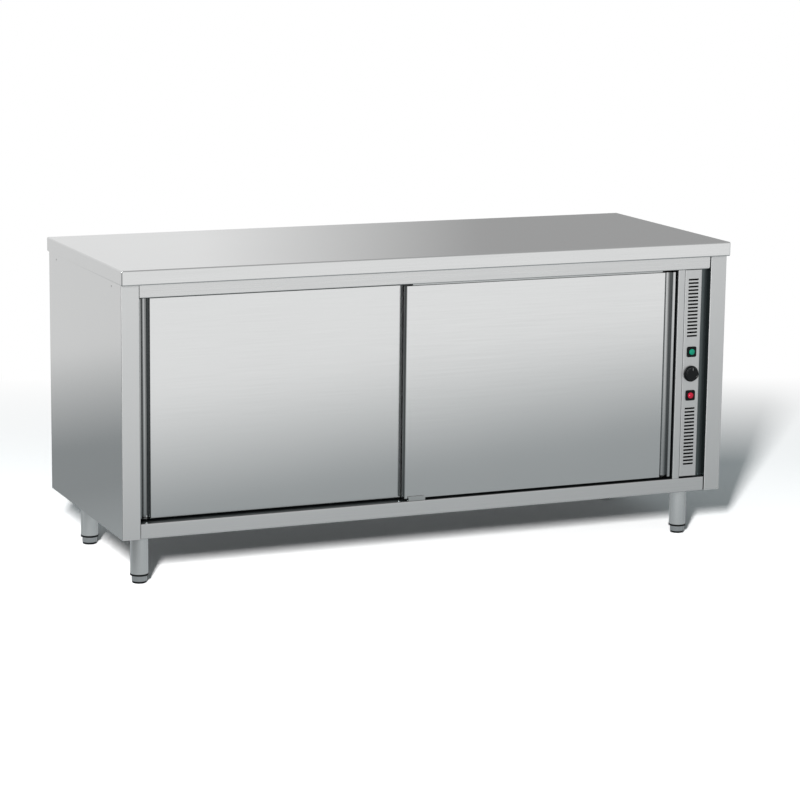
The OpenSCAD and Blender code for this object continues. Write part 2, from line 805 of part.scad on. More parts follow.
// Terminal block on the bottom panel of the bay
module terminal_block() {
    a = [bay_x + block_in, back_y - block_back, carcass_z + sheet];
    pitch = block.x / clamp_n;
    color("#e4e2d8") difference() {
        union() {
            box(a, a + [block.x, block.y, block_base]);
            box(a + [0, block_step, 0], a + [block.x, block.y - block_step, block.z]);
        }
        for (i = [0.5:clamp_n]) translate(a + [i * pitch, block.y / 2, block_base])
            cylinder(h = block.z, d = clamp_d);
    }
}

// Cable gland through the bottom panel
module cable_gland() {
    color("#2a2c2f") translate([gland_xy.x, gland_xy.y, carcass_z]) difference() {
        union() {
            translate([0, 0, -gland_nut]) cylinder(h = gland_nut, d = gland_hex, $fn = 6);
            translate([0, 0, -gland_l]) cylinder(h = gland_l, d = gland_thread + 4);
            cylinder(h = sheet + gland_stub, d = gland_thread);
            translate([0, 0, sheet]) cylinder(h = locknut, d = gland_hex, $fn = 6);
        }
        translate([0, 0, -gland_l - cut])
            cylinder(h = gland_l + sheet + gland_stub + 2 * cut, d = gland_bore);
    }
}

// ---- Shelf ----

// Shelf with edges folded down and rows of slots
module shelf() {
    a = [open_x0 + shelf_gap, rear_door_y + door_t + shelf_front, shelf_z - shelf_edge];
    b = [open_x1 - shelf_gap, inner_back - shelf_gap, shelf_z];
    col_pitch = (b.x - a.x) / shelf_cols;
    row_pitch = (b.y - a.y) / (shelf_rows + 1);
    color("#b0b3b4") difference() {
        box(a, b);
        box([a.x + sheet, a.y + sheet, a.z - cut], [b.x - sheet, b.y - sheet, b.z - sheet]);
        for (i = [0:shelf_cols - 1], j = [1:shelf_rows])
            translate([a.x + (i + 0.5) * col_pitch, a.y + j * row_pitch, b.z - 2 * sheet])
                linear_extrude(3 * sheet) obround(shelf_slot_l, shelf_slot_w);
    }
}

// Angles on the left wall and on the partition
module shelf_angles() {
    z = shelf_z - shelf_edge;
    y0 = rear_door_y + door_t + shelf_front;
    color("#9fa2a3") for (s = [0, 1]) translate([s * 2 * open_cx, 0, 0]) mirror([s, 0, 0]) {
        box([open_x0, y0, z - sheet], [open_x0 + angle_w, inner_back - shelf_gap, z]);
        box([open_x0, y0, z - angle_w], [open_x0 + sheet, inner_back - shelf_gap, z]);
    }
}

// ---- Door gear on the carcass ----

// Two J-shaped lanes under one plate
module door_track() {
    color("#8f9294") along_x(open_x0 + fit, open_x1 - fit) {
        translate([front_door_y + web_y, track_top - track_t])
            square([gear_back_y - front_door_y - web_y, track_t]);
        for (y = [front_door_y, rear_door_y]) {
            translate([y + track_y, ledge_z - track_t]) square([track_t, track_top - ledge_z + track_t]);
            translate([y + roller_y + fit, ledge_z - track_t])
                square([track_y - roller_y - fit + track_t, track_t]);
        }
    }
}

// Rubber stops at both ends of each lane
module track_stops() {
    near_end = front_door_x + roller_x[0] - door_travel - roller_d / 2 - fit;
    far_end = front_door_x + roller_x[1] + roller_d / 2 + fit;
    color("#232425") for (s = [0, 1])
        translate([s * 2 * open_cx, s * (rear_door_y - front_door_y), 0]) mirror([s, 0, 0])
            for (x = [near_end - stop_w, far_end]) box([x, front_door_y + roller_y + fit, ledge_z],
                [x + stop_w, front_door_y + track_y, track_top - track_t]);
}

// Comb on the sill: a finger before, between and behind the doors
module door_guide() {
    x0 = open_cx - guide_w / 2;
    x1 = open_cx + guide_w / 2;
    y_front = front_door_y - guide_side - guide_t;
    y_mid = front_door_y + door_t + (door_gap - guide_t) / 2;
    y_back = rear_door_y + door_t + guide_side;
    color("#b7babb") {
        box([x0, y_front, sill_z], [x1, y_back + guide_t, sill_z + guide_base]);
        for (y = [y_front, y_mid, y_back]) box([x0, y, sill_z], [x1, y + guide_t, sill_z + guide_h]);
    }
}

// ---- Doors, each in its own frame ----

module place_front_door() {
    translate([front_door_x, front_door_y, 0]) children();
}
module place_rear_door() {
    translate([open_x0 + door_side + door_w, rear_door_y, 0]) mirror([1, 0, 0]) children();
}

// The tray's outer form at in = 0, or the form of its inside, with bends of radius r
module door_form(in, r) {
    deep = 2 * door_t;
    intersection() {
        translate([0, 0, door_z0 + in]) linear_extrude(door_z1 - door_z0 - 2 * in)
            round_rect([in, in], [door_w - in, deep], r);
        along_x(in, door_w - in) round_rect([in, door_z0 + in], [deep, door_z1 - in], r);
    }
}

// Folded steel tray with a half-round finger groove down its outer edge
module door_skin() {
    high = door_z1 - door_z0;
    color("#c6c9ca") difference() {
        door_form(0, door_bend + door_sheet);
        difference() {
            door_form(door_sheet, door_bend);
            translate([groove_x, 0, door_z0]) cylinder(h = high, r = groove_r + door_sheet);
        }
        translate([groove_x, 0, door_z0 - cut]) cylinder(h = high + 2 * cut, r = groove_r);
        box([-cut, door_t - door_sheet, door_z0 - cut], [door_w + cut, 3 * door_t, door_z1 + cut]);
    }
}

// Insulation inside the tray
module door_core() {
    in = door_sheet + max(fit, door_bend / 2);
    color("#d8cf9a") difference() {
        box([in, in, door_z0 + in], [door_w - in, door_t - door_sheet - fit, door_z1 - in]);
        translate([groove_x, 0, door_z0]) cylinder(h = door_z1 - door_z0, r = groove_r + in);
    }
}

// Flat cover that closes the tray at the back
module door_back() {
    color("#b4b7b8") box([0, door_t - door_sheet, door_z0], [door_w, door_t, door_z1]);
}

// Hanger bar on the door's top edge, with its two roller axles
module door_hanger() {
    color("#b2b5b6") {
        box([hanger_x0, web_y, door_z1], [hanger_x1, door_t - web_y, door_z1 + hanger_base]);
        box([hanger_x0, web_y, door_z1], [hanger_x1, web_y + hanger_t, axle_z + axle_d + 1]);
        for (x = roller_x) {
            bar_y(web_y - axle_head, track_y - fit, x, axle_z, axle_d);
            bar_y(web_y - axle_head, web_y, x, axle_z, axle_d + 4);
            bar_y(roller_y + roller_w + fit, track_y - fit, x, axle_z, axle_d + 3);
        }
    }
}

// Roller that runs on the ledge
module roller(i) {
    r = roller_d / 2;
    bore = axle_d / 2 + run;
    color("#e6e4dc") translate([roller_x[i], roller_y, axle_z]) rotate([-90, 0, 0]) rotate_extrude()
        polygon([[bore, 0], [r - roller_bevel, 0], [r, roller_bevel], [r, roller_w - roller_bevel],
            [r - roller_bevel, roller_w], [bore, roller_w]]);
}

module front_door_skin() { place_front_door() door_skin(); }
module front_door_core() { place_front_door() door_core(); }
module front_door_back() { place_front_door() door_back(); }
module front_door_hanger() { place_front_door() door_hanger(); }
module front_roller_left() { place_front_door() roller(0); }
module front_roller_right() { place_front_door() roller(1); }
module rear_door_skin() { place_rear_door() door_skin(); }
module rear_door_core() { place_rear_door() door_core(); }
module rear_door_back() { place_rear_door() door_back(); }
module rear_door_hanger() { place_rear_door() door_hanger(); }
module rear_roller_left() { place_rear_door() roller(1); }
module rear_roller_right() { place_rear_door() roller(0); }

// ---- Legs and feet ----

// Tube with a welded top disc and its fixing stud
module leg(i) {
    h = carcass_z - leg_z;
    color("#b9bcbd") translate([leg_xy[i].x, leg_xy[i].y, leg_z]) {
        difference() {
            cylinder(h = h, d = leg_d);
            translate([0, 0, -cut]) cylinder(h = h - leg_disc + cut, d = leg_d - 2 * leg_wall);
        }
        translate([0, 0, h - leg_disc]) cylinder(h = leg_disc + sheet + nut_h + stud_end, d = leg_stud_d);
    }
}

// Black plugs in the tubes' lower ends, bored for the foot studs
module leg_collars() {
    h = collar_h + plug_h;
    color("#18191b") for (p = leg_xy) translate([p.x, p.y, collar_z]) difference() {
        union() {
            cylinder(h = collar_h, d = collar_d);
            cylinder(h = h, d = leg_d - 2 * leg_wall);
        }
        translate([0, 0, -cut]) cylinder(h = h + 2 * cut, d = foot_stud_d + 2 * run);
    }
}

// Nuts inside the carcass that hold the legs
module leg_nuts() {
    color("#c8b977") for (p = leg_xy) translate([p.x, p.y, carcass_z + sheet]) difference() {
        cylinder(h = nut_h, d = 1.7 * leg_stud_d / cos(30), $fn = 6);
        translate([0, 0, -cut]) cylinder(h = nut_h + 2 * cut, d = leg_stud_d);
    }
}

// Steel cap of an adjustable foot, with its threaded stud
module foot_cap(i) {
    r = foot_d / 2;
    in = collar_z - cap_wall;
    stud_r = foot_stud_d / 2;
    stud_z = collar_z + collar_h + plug_h - 1;
    color("#c4c7c8") translate([leg_xy[i].x, leg_xy[i].y, 0]) rotate_extrude() polygon([[0, in],
        [r - cap_wall, in], [r - cap_wall, pad_h], [r, pad_h], [r, collar_z - foot_bevel],
        [r - foot_bevel, collar_z], [stud_r, collar_z], [stud_r, stud_z - foot_bevel],
        [stud_r - foot_bevel, stud_z], [0, stud_z]]);
}

// Black pad inside the cap, standing out below it
module foot_pad(i) {
    r = foot_d / 2 - pad_in;
    neck = foot_d / 2 - cap_wall;
    top = collar_z - cap_wall;
    color("#141516") translate([leg_xy[i].x, leg_xy[i].y, 0]) rotate_extrude() polygon([[0, 0],
        [r - pad_bevel, 0], [r, pad_bevel], [r, pad_h], [neck, pad_h], [neck, top], [0, top]]);
}

worktop();
worktop_board();
left_side_panel();
right_side_panel();
back_panel();
bottom_panel();
top_rail();
bottom_rail();
left_liner();
back_liner();
ceiling_liner();
inner_floor();
heater_partition();
partition_post();
control_panel();
recess_channel();
insulation();
door_track();
track_stops();
door_guide();
shelf();
shelf_angles();
thermostat();
lamp_bezel(lamp_z[0]);  // green_lamp_bezel
lamp_lens(lamp_z[0], "#10a080");  // green_lamp_lens
lamp_bezel(lamp_z[1]);  // red_lamp_bezel
lamp_lens(lamp_z[1], "#d01f3f");  // red_lamp_lens
terminal_block();
heater_element();
fan_motor();
cable_gland();
leg(0);  // front_left_leg
leg(1);  // front_right_leg
leg(2);  // rear_left_leg
leg(3);  // rear_right_leg
leg_collars();
leg_nuts();
front_door_skin();
front_door_core();
front_door_back();
front_door_hanger();
rear_door_skin();
rear_door_core();
rear_door_back();
rear_door_hanger();
front_roller_left();
front_roller_right();
rear_roller_left();
rear_roller_right();
control_knob();
knob_spindle();
fan_impeller();
foot_cap(0);  // front_left_foot_cap
foot_pad(0);  // front_left_foot_pad
foot_cap(1);  // front_right_foot_cap
foot_pad(1);  // front_right_foot_pad
foot_cap(2);  // rear_left_foot_cap
foot_pad(2);  // rear_left_foot_pad
foot_cap(3);  // rear_right_foot_cap
foot_pad(3);  // rear_right_foot_pad
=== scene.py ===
import math

import bmesh
import bpy
from mathutils import Matrix, Vector


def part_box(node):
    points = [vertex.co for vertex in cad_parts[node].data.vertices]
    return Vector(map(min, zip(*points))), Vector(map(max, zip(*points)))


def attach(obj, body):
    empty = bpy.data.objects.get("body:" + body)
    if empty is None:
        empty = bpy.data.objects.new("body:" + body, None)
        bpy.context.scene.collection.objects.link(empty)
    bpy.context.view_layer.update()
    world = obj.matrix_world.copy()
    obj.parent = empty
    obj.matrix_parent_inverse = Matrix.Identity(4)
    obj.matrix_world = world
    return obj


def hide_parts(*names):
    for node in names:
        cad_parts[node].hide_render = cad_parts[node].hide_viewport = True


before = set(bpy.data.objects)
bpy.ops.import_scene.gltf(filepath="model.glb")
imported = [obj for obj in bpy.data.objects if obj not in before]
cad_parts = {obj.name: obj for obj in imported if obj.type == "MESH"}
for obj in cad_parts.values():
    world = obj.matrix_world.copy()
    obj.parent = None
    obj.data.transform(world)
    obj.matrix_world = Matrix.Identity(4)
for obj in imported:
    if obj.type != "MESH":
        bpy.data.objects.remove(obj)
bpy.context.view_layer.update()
scene = bpy.context.scene

# ---- Carcass ----
# Side panels with their front stiles, rails, post and control panel: 1 mm stainless sheet, ground
# to a satin finish on a belt, then punched and folded on a press brake. The pieces are riveted
# and spot-welded to each other. Side and column pieces are ground upright, the rails lengthwise.
STEEL_COLOUR, FRAME_STEEL = "#dbdcdc", "#dadbdb"
INNER_SHADE, RECESS_SHADE = "#4a5152", "#666e6f"    # painted shade for the sides' inner face and for the recess, where shade falls
SHEET_ROUGH, FRAME_ROUGH, TOP_RAIL_ROUGH, RECESS_ROUGH = 0.15, 0.42, 0.28, 0.36
GRAIN_WIDTH = 3         # mm; the real lines are 0.2 mm wide, drawn this coarse so that they show
GRAIN_LENGTH = 200      # mm
CLOUD_WIDTH = 260       # mm across the faint clouds that handling and cleaning leave
CLOUD_SHARE = 0.35      # of the uneven gloss that the clouds make; the lines make the rest
SKIN_BASE, SKIN_TOP = 0.0007, 0.0003    # metres under a ground face, between which its colour turns into the painted shade inside


def colour(code):
    """A linear colour from an sRGB hex code."""
    parts = [int(code[i:i + 2], 16) / 255 for i in (1, 3, 5)]
    return [c / 12.92 if c <= 0.04045 else ((c + 0.055) / 1.055) ** 2.4 for c in parts] + [1]


def add_node(tree, kind, inputs, **settings):
    """Adds a node. inputs maps a socket to its value, or to the output that it is linked from."""
    node = tree.nodes.new(kind)
    for name, value in settings.items():
        setattr(node, name, value)
    for socket, value in inputs.items():
        if isinstance(value, bpy.types.NodeSocket):
            tree.links.new(value, node.inputs[socket])
        else:
            node.inputs[socket].default_value = value
    return node


def new_finish(name, tint, metallic, roughness):
    """A material with its shader set, and Object coordinates to build a pattern on."""
    material = bpy.data.materials.new(name)
    material.use_nodes = True
    shader = material.node_tree.nodes["Principled BSDF"]
    shader.inputs["Base Color"].default_value = colour(tint)
    shader.inputs["Metallic"].default_value = metallic
    shader.inputs["Roughness"].default_value = roughness
    place = add_node(material.node_tree, "ShaderNodeTexCoord", {})
    return material, material.node_tree, shader, place.outputs["Object"]


def satin_steel(name, grain, tint=STEEL_COLOUR, roughness=SHEET_ROUGH, contrast=0.03):
    """Belt-ground stainless steel: long fine lines along one axis, 0 for X to 2 for Z. The eye sees
    soft reflections that are drawn out across the lines, and no sharp mirror image."""
    material, tree, shader, place = new_finish(name, tint, 1, roughness)
    stretch = [1000 / GRAIN_WIDTH] * 3
    stretch[grain] = 1000 / GRAIN_LENGTH
    drawn = add_node(tree, "ShaderNodeMapping", {"Vector": place, "Scale": stretch})
    lines = add_node(tree, "ShaderNodeTexNoise", {"Vector": drawn.outputs[0], "Scale": 1, "Detail": 4})
    clouds = add_node(tree, "ShaderNodeTexNoise", {"Vector": place, "Scale": 1000 / CLOUD_WIDTH,
        "Detail": 2})
    mixed = add_node(tree, "ShaderNodeMix", {0: CLOUD_SHARE, 2: lines.outputs["Fac"],
        3: clouds.outputs["Fac"]})
    rough = add_node(tree, "ShaderNodeMapRange", {"Value": mixed.outputs[0], "From Min": 0.3,
        "From Max": 0.7, "To Min": roughness - 0.02, "To Max": roughness + 0.02})
    light, dark = colour(tint), colour(tint)
    dark[:3] = [c * (1 - 2 * contrast) for c in dark[:3]]
    shade = add_node(tree, "ShaderNodeMix", {0: lines.outputs["Fac"], 6: light, 7: dark}, data_type="RGBA")
    ridges = add_node(tree, "ShaderNodeBump", {"Height": lines.outputs["Fac"], "Strength": 0.03,
        "Distance": 0.0001})
    tree.links.new(shade.outputs[2], shader.inputs["Base Color"])
    tree.links.new(rough.outputs[0], shader.inputs["Roughness"])
    tree.links.new(ridges.outputs[0], shader.inputs["Normal"])
    return material


def paint_shade_along(material, axis, stops, dull="#17272a"):
    """Paints shade along one axis: mixes the steel's colour towards dull where folds or grooves lie in
    shade.
    stops are (place along the axis in metres, share of the steel's own colour that is left there)."""
    tree = material.node_tree
    shader = tree.nodes["Principled BSDF"]
    bright = shader.inputs["Base Color"].links[0].from_socket
    place = add_node(tree, "ShaderNodeTexCoord", {})
    axes = add_node(tree, "ShaderNodeSeparateXYZ", {"Vector": place.outputs["Object"]})
    start, end = stops[0][0], stops[-1][0]
    along = add_node(tree, "ShaderNodeMapRange", {"Value": axes.outputs[axis], "From Min": start,
        "From Max": end})
    left = add_node(tree, "ShaderNodeValToRGB", {0: along.outputs[0]})
    ramp = left.color_ramp.elements
    while len(ramp) < len(stops):
        ramp.new(0.5)
    for element, (at, share) in zip(ramp, stops):
        element.position = (at - start) / (end - start)
        element.color = (share, share, share, 1)
    shade = add_node(tree, "ShaderNodeMix", {0: left.outputs[0], 6: colour(dull), 7: bright},
        data_type="RGBA")
    tree.links.new(shade.outputs[2], shader.inputs["Base Color"])
    return material


def dress(material, *names):
    """Gives CAD nodes a material."""
    for name in names:
        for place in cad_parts[name].material_slots:
            place.material = material


# The belt grinds the face of each frame piece; the fold behind it gets painted shade, darker further in
frame_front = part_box("bottom_rail")[0].y
fold = [(frame_front, 1), (frame_front + 0.0002, 1), (frame_front + 0.0012, 0.5),
    (frame_front + 0.003, 0.12), (frame_front + 0.05, 0.08)]
for name, grain, rough in (("partition_post", 2, FRAME_ROUGH), ("control_panel", 2, FRAME_ROUGH),
        ("bottom_rail", 0, FRAME_ROUGH), ("top_rail", 0, TOP_RAIL_ROUGH)):
    frame_steel = satin_steel("satin_stainless_" + name, grain, FRAME_STEEL, rough, 0.04)
    dress(paint_shade_along(frame_steel, "Y", fold), name)
# The recess channel gets a darker steel colour as painted shade
dress(satin_steel("shaded_stainless_recess", 2, RECESS_SHADE, RECESS_ROUGH), "recess_channel")

# The front of the frame is ground once more after assembly, so the stiles are as matt as the post
panel_low, panel_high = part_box("left_side_panel")
side_steel = satin_steel("satin_stainless_side", 2)
tree = side_steel.node_tree
shader = tree.nodes["Principled BSDF"]
smooth = shader.inputs["Roughness"].links[0].from_socket
bright = shader.inputs["Base Color"].links[0].from_socket
place = add_node(tree, "ShaderNodeTexCoord", {})
axes = add_node(tree, "ShaderNodeSeparateXYZ", {"Vector": place.outputs["Object"]})
front = add_node(tree, "ShaderNodeMapRange", {"Value": axes.outputs["Y"], "From Min": panel_low.y + 0.003,
    "From Max": panel_low.y + 0.001})
matt = add_node(tree, "ShaderNodeMix", {0: front.outputs[0], 2: smooth, 3: FRAME_ROUGH})
tree.links.new(matt.outputs[0], shader.inputs["Roughness"])
faced = add_node(tree, "ShaderNodeMix", {0: front.outputs[0], 6: bright, 7: colour(FRAME_STEEL)},
    data_type="RGBA")
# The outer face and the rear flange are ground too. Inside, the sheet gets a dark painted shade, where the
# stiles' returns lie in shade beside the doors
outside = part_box("right_side_panel")[1].x
from_middle = add_node(tree, "ShaderNodeMath", {0: axes.outputs["X"]}, operation="ABSOLUTE")
outer = add_node(tree, "ShaderNodeMapRange", {"Value": from_middle.outputs[0],
    "From Min": outside - SKIN_BASE, "From Max": outside - SKIN_TOP})
rear = add_node(tree, "ShaderNodeMapRange", {"Value": axes.outputs["Y"],
    "From Min": panel_high.y - SKIN_BASE, "From Max": panel_high.y - SKIN_TOP})
outer_or_rear = add_node(tree, "ShaderNodeMath", {0: outer.outputs[0], 1: rear.outputs[0]},
    operation="MAXIMUM")
unshaded_faces = add_node(tree, "ShaderNodeMath", {0: outer_or_rear.outputs[0], 1: front.outputs[0]},
    operation="MAXIMUM")
shade = add_node(tree, "ShaderNodeMix", {0: unshaded_faces.outputs[0], 6: colour(INNER_SHADE),
    7: faced.outputs[2]}, data_type="RGBA")
tree.links.new(shade.outputs[2], shader.inputs["Base Color"])
dress(side_steel, "left_side_panel", "right_side_panel")

# ---- Back and bottom panels, door track ----
# Galvanised sheet: 1 mm behind and under the carcass, where no one looks, and 2.2 mm for the track
# that the doors hang from. Hot-dip zinc freezes in flat crystals, and these spangles give a
# patchwork of slightly different greys.
SPANGLE = 14            # mm across a zinc crystal


def galvanised(name, tint="#b9bdbf"):
    """Hot-dip galvanised sheet. Each crystal has its own grey and its own gloss."""
    material, tree, shader, place = new_finish(name, tint, 1, 0.4)
    crystals = add_node(tree, "ShaderNodeTexVoronoi", {"Vector": place, "Scale": 1000 / SPANGLE})
    grey = add_node(tree, "ShaderNodeSeparateColor", {"Color": crystals.outputs["Color"]})
    dull = colour(tint)
    dull[:3] = [c * 0.8 for c in dull[:3]]
    shade = add_node(tree, "ShaderNodeMix", {0: grey.outputs[0], 6: colour(tint), 7: dull}, data_type="RGBA")
    rough = add_node(tree, "ShaderNodeMapRange", {"Value": grey.outputs[1], "To Min": 0.33, "To Max": 0.47})
    tree.links.new(shade.outputs[2], shader.inputs["Base Color"])
    tree.links.new(rough.outputs[0], shader.inputs["Roughness"])
    return material


zinc_sheet = galvanised("galvanised_sheet")
dress(zinc_sheet, "back_panel", "bottom_panel", "door_track")

# ---- Liners and partition ----
# The heated compartment's walls, ceiling and floor, the shelf with its angles and the hangers:
# stainless sheet as it leaves the mill. It is greyer than the ground steel outside.
ROLL_MARK = 30          # mm between the faint patches that the mill's rolls leave


def mill_steel(name, tint, roughness):
    """Cold-rolled stainless steel: an even grey sheen, with hardly any pattern."""
    material, tree, shader, place = new_finish(name, tint, 1, roughness)
    cold_rolled = add_node(tree, "ShaderNodeTexNoise", {"Vector": place, "Scale": 1000 / ROLL_MARK,
        "Detail": 5, "Roughness": 0.6})
    rough = add_node(tree, "ShaderNodeMapRange", {"Value": cold_rolled.outputs["Fac"], "From Min": 0.3,
        "From Max": 0.7, "To Min": roughness - 0.02, "To Max": roughness + 0.02})
    bright, dull = colour(tint), colour(tint)
    dull[:3] = [c * 0.97 for c in dull[:3]]
    shade = add_node(tree, "ShaderNodeMix", {0: cold_rolled.outputs["Fac"], 6: bright, 7: dull},
        data_type="RGBA")
    tree.links.new(shade.outputs[2], shader.inputs["Base Color"])
    tree.links.new(rough.outputs[0], shader.inputs["Roughness"])
    return material


liner_steel = mill_steel("mill_finish_stainless", "#bfc2c2", 0.3)
dress(liner_steel, "left_liner", "back_liner", "ceiling_liner", "inner_floor", "heater_partition", "shelf",
    "shelf_angles", "front_door_back", "rear_door_back", "front_door_hanger", "rear_door_hanger",
    "door_guide")

# ---- Insulation ----
# Mineral wool slabs, 60 kg per cubic metre, cut to size and pushed between carcass and liners, and
# a slab in each door. Yellow-brown fibres lie flat in layers.
FIBRE = 6               # mm between tufts of fibre


def mineral_wool(name):
    """Mineral wool: matt tufts of fibre, pressed flat into layers."""
    material, tree, shader, place = new_finish(name, "#cdbb74", 0, 0.95)
    layers = add_node(tree, "ShaderNodeMapping", {"Vector": place, "Scale": [1, 1, 4]})
    tufts = add_node(tree, "ShaderNodeTexNoise", {"Vector": layers.outputs[0], "Scale": 1000 / FIBRE,
        "Detail": 6, "Roughness": 0.7, "Distortion": 0.6})
    shade = add_node(tree, "ShaderNodeMix", {0: tufts.outputs["Fac"], 6: colour("#e2d391"),
        7: colour("#a8925a")}, data_type="RGBA")
    bumps = add_node(tree, "ShaderNodeBump", {"Height": tufts.outputs["Fac"], "Strength": 0.8,
        "Distance": 0.002})
    tree.links.new(shade.outputs[2], shader.inputs["Base Color"])
    tree.links.new(bumps.outputs[0], shader.inputs["Normal"])
    return material


dress(mineral_wool("mineral_wool"), "insulation", "front_door_core", "rear_door_core")

# ---- Heating ----
# A ring heater round a fan, both on a steel plate in the technical bay. The heater's sheath is a
# nickel alloy that its first heat turns a mottled brown-grey; the fan is pressed aluminium and
# the motor's shell is bare steel.


def mottled_metal(name, bright, dull, roughness, width):
    """Bare metal with soft patches, width mm across."""
    material, tree, shader, place = new_finish(name, bright, 1, roughness)
    patches = add_node(tree, "ShaderNodeTexNoise", {"Vector": place, "Scale": 1000 / width, "Detail": 5})
    shade = add_node(tree, "ShaderNodeMix", {0: patches.outputs["Fac"], 6: colour(bright), 7: colour(dull)},
        data_type="RGBA")
    rough = add_node(tree, "ShaderNodeMapRange", {"Value": patches.outputs["Fac"], "From Min": 0.3,
        "From Max": 0.7, "To Min": roughness - 0.06, "To Max": roughness + 0.06})
    tree.links.new(shade.outputs[2], shader.inputs["Base Color"])
    tree.links.new(rough.outputs[0], shader.inputs["Roughness"])
    return material


dress(mottled_metal("oxidised_heater_sheath", "#8a7f74", "#5d544c", 0.5, 12), "heater_element")
dress(mottled_metal("bare_motor_steel", "#a9acad", "#8f9294", 0.38, 18), "fan_motor")
dress(mottled_metal("pressed_aluminium", "#cfd1d3", "#b9bcbf", 0.33, 15), "fan_impeller")
bright_steel = mottled_metal("turned_bright_steel", "#d2d4d5", "#c2c4c6", 0.2, 8)

# ---- Stops, thermostat, terminal block and leg nuts ----
# Rubber stops are cut from a strip and pressed into the track. The thermostat's body and the cable
# gland are moulded in black polyamide, the terminal block in a white thermoplastic. The leg nuts
# are zinc-plated with a yellow passivation.


def moulded(name, tint, roughness, grain=0.6):
    """Injection-moulded plastic or rubber: an even colour with a fine eroded grain, in mm."""
    material, tree, shader, place = new_finish(name, tint, 0, roughness)
    skin = add_node(tree, "ShaderNodeTexNoise", {"Vector": place, "Scale": 1000 / grain, "Detail": 3})
    rough = add_node(tree, "ShaderNodeMapRange", {"Value": skin.outputs["Fac"], "From Min": 0.3,
        "From Max": 0.7, "To Min": roughness - 0.05, "To Max": roughness + 0.05})
    bumps = add_node(tree, "ShaderNodeBump", {"Height": skin.outputs["Fac"], "Strength": 0.15,
        "Distance": 0.0001})
    tree.links.new(rough.outputs[0], shader.inputs["Roughness"])
    tree.links.new(bumps.outputs[0], shader.inputs["Normal"])
    return material


black_plastic = moulded("black_polyamide", "#080c0d", 0.5)
black_plastic.node_tree.nodes["Principled BSDF"].inputs["Specular IOR Level"].default_value = 0.2
white_plastic = moulded("white_acetal", "#e4e2da", 0.35)
rubber = moulded("black_rubber", "#1b1b1c", 0.75)
dress(rubber, "track_stops")
dress(black_plastic, "thermostat", "cable_gland")
dress(white_plastic, "terminal_block")
dress(mottled_metal("yellow_zinc", "#cdb673", "#a9a07a", 0.35, 6), "leg_nuts")
dress(bright_steel, "knob_spindle")

# ---- Legs ----
# Stainless tube, 48 mm, with a disc welded in at the top that carries the fixing stud. A black
# plug with a collar closes the foot of each tube, and an adjustable foot with a threaded stud,
# a pressed steel cap and a black pad screws into it.
LEG_NAMES = ["front_left", "front_right", "rear_left", "rear_right"]
LEG_RADIUS, LEG_WALL, LEG_DISC = 24, 1.5, 3
STUD_RADIUS, STUD_REACH = 5, 11
COLLAR_BASE, COLLAR_TOP, COLLAR_RADIUS, PLUG_TOP = 21, 26, 25, 64
CAP_RADIUS, CAP_BASE, CAP_WALL = 20.5, 6, 1.5
SCREW_RADIUS, SCREW_TOP, SCREW_PITCH, SCREW_PLAY = 6, 63, 1.75, 0.1
THREAD_HEIGHT, THREAD_STEPS = 1, 20
PAD_RADIUS, PAD_INSET = 19.5, 1.6   # the pad fills the cap, a little smaller than its inside


def centre_of(node):
    """The middle of a CAD node's box."""
    low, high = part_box(node)
    return (low + high) / 2


def turned(bm, outline, at, axis="Z", steps=64):
    """Turns an outline of (radius, distance along the axis) points, in mm, about an axis through
    a point in metres. Returns the new vertices."""
    along = {"Y": Vector((0, 1, 0)), "Z": Vector((0, 0, 1))}[axis]
    out = Vector((1, 0, 0))
    points = [bm.verts.new(at + out * r / 1000 + along * d / 1000) for r, d in outline]
    edges = [bm.edges.new(pair) for pair in zip(points, points[1:])]
    before = set(bm.verts) - set(points)
    bmesh.ops.spin(bm, geom=points + edges, cent=at, axis=along, angle=2 * math.pi, steps=steps,
        use_merge=True, dvec=(0, 0, 0))
    made = [v for v in bm.verts if v not in before]
    bmesh.ops.remove_doubles(bm, verts=made, dist=0.00002)
    return [v for v in bm.verts if v not in before]


def rounded(outline, where, radius, steps=4):
    """The outline with some of its corners rounded: where maps a point's index to its own radius."""
    smooth = []
    for i, point in enumerate(outline):
        r = where.get(i, radius)
        if not r or i in (0, len(outline) - 1):
            smooth.append(point)
            continue
        here = Vector(point)
        to_last, to_next = (Vector(outline[i - 1]) - here), (Vector(outline[i + 1]) - here)
        half = to_last.angle(to_next) / 2
        reach = min(r / math.tan(half), to_last.length * 0.49, to_next.length * 0.49)
        a, b = here + to_last.normalized() * reach, here + to_next.normalized() * reach
        for k in range(steps + 1):
            t = k / steps
            smooth.append(tuple(a * (1 - t) ** 2 + here * 2 * t * (1 - t) + b * t * t))
    return smooth


def piece(name, bm, material, body, slot, *replaced, angle=35, wall=0):
    """Closes a bmesh as a piece: outward faces, smooth shading with crisp edges, its material,
    the CAD body it rides on and the CAD nodes it stands for. slot is not used. An open
    shell of sheet gets its wall here, in mm, inwards."""
    bmesh.ops.recalc_face_normals(bm, faces=bm.faces)
    mesh = bpy.data.meshes.new(name)
    bm.to_mesh(mesh)
    bm.free()
    mesh.shade_smooth()
    mesh.set_sharp_from_angle(angle=math.radians(angle))
    mesh.materials.append(material)
    made = bpy.data.objects.new(name, mesh)
    scene.collection.objects.link(made)
    if wall:
        sheet = made.modifiers.new("sheet", "SOLIDIFY")
        sheet.thickness, sheet.offset = wall / 1000, -1
    # Keeps flat sheet flat to the eye beside its bends
    made.modifiers.new("flat_sheet", "WEIGHTED_NORMAL").keep_sharp = True
    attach(made, body)
    if replaced:
        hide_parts(*replaced)
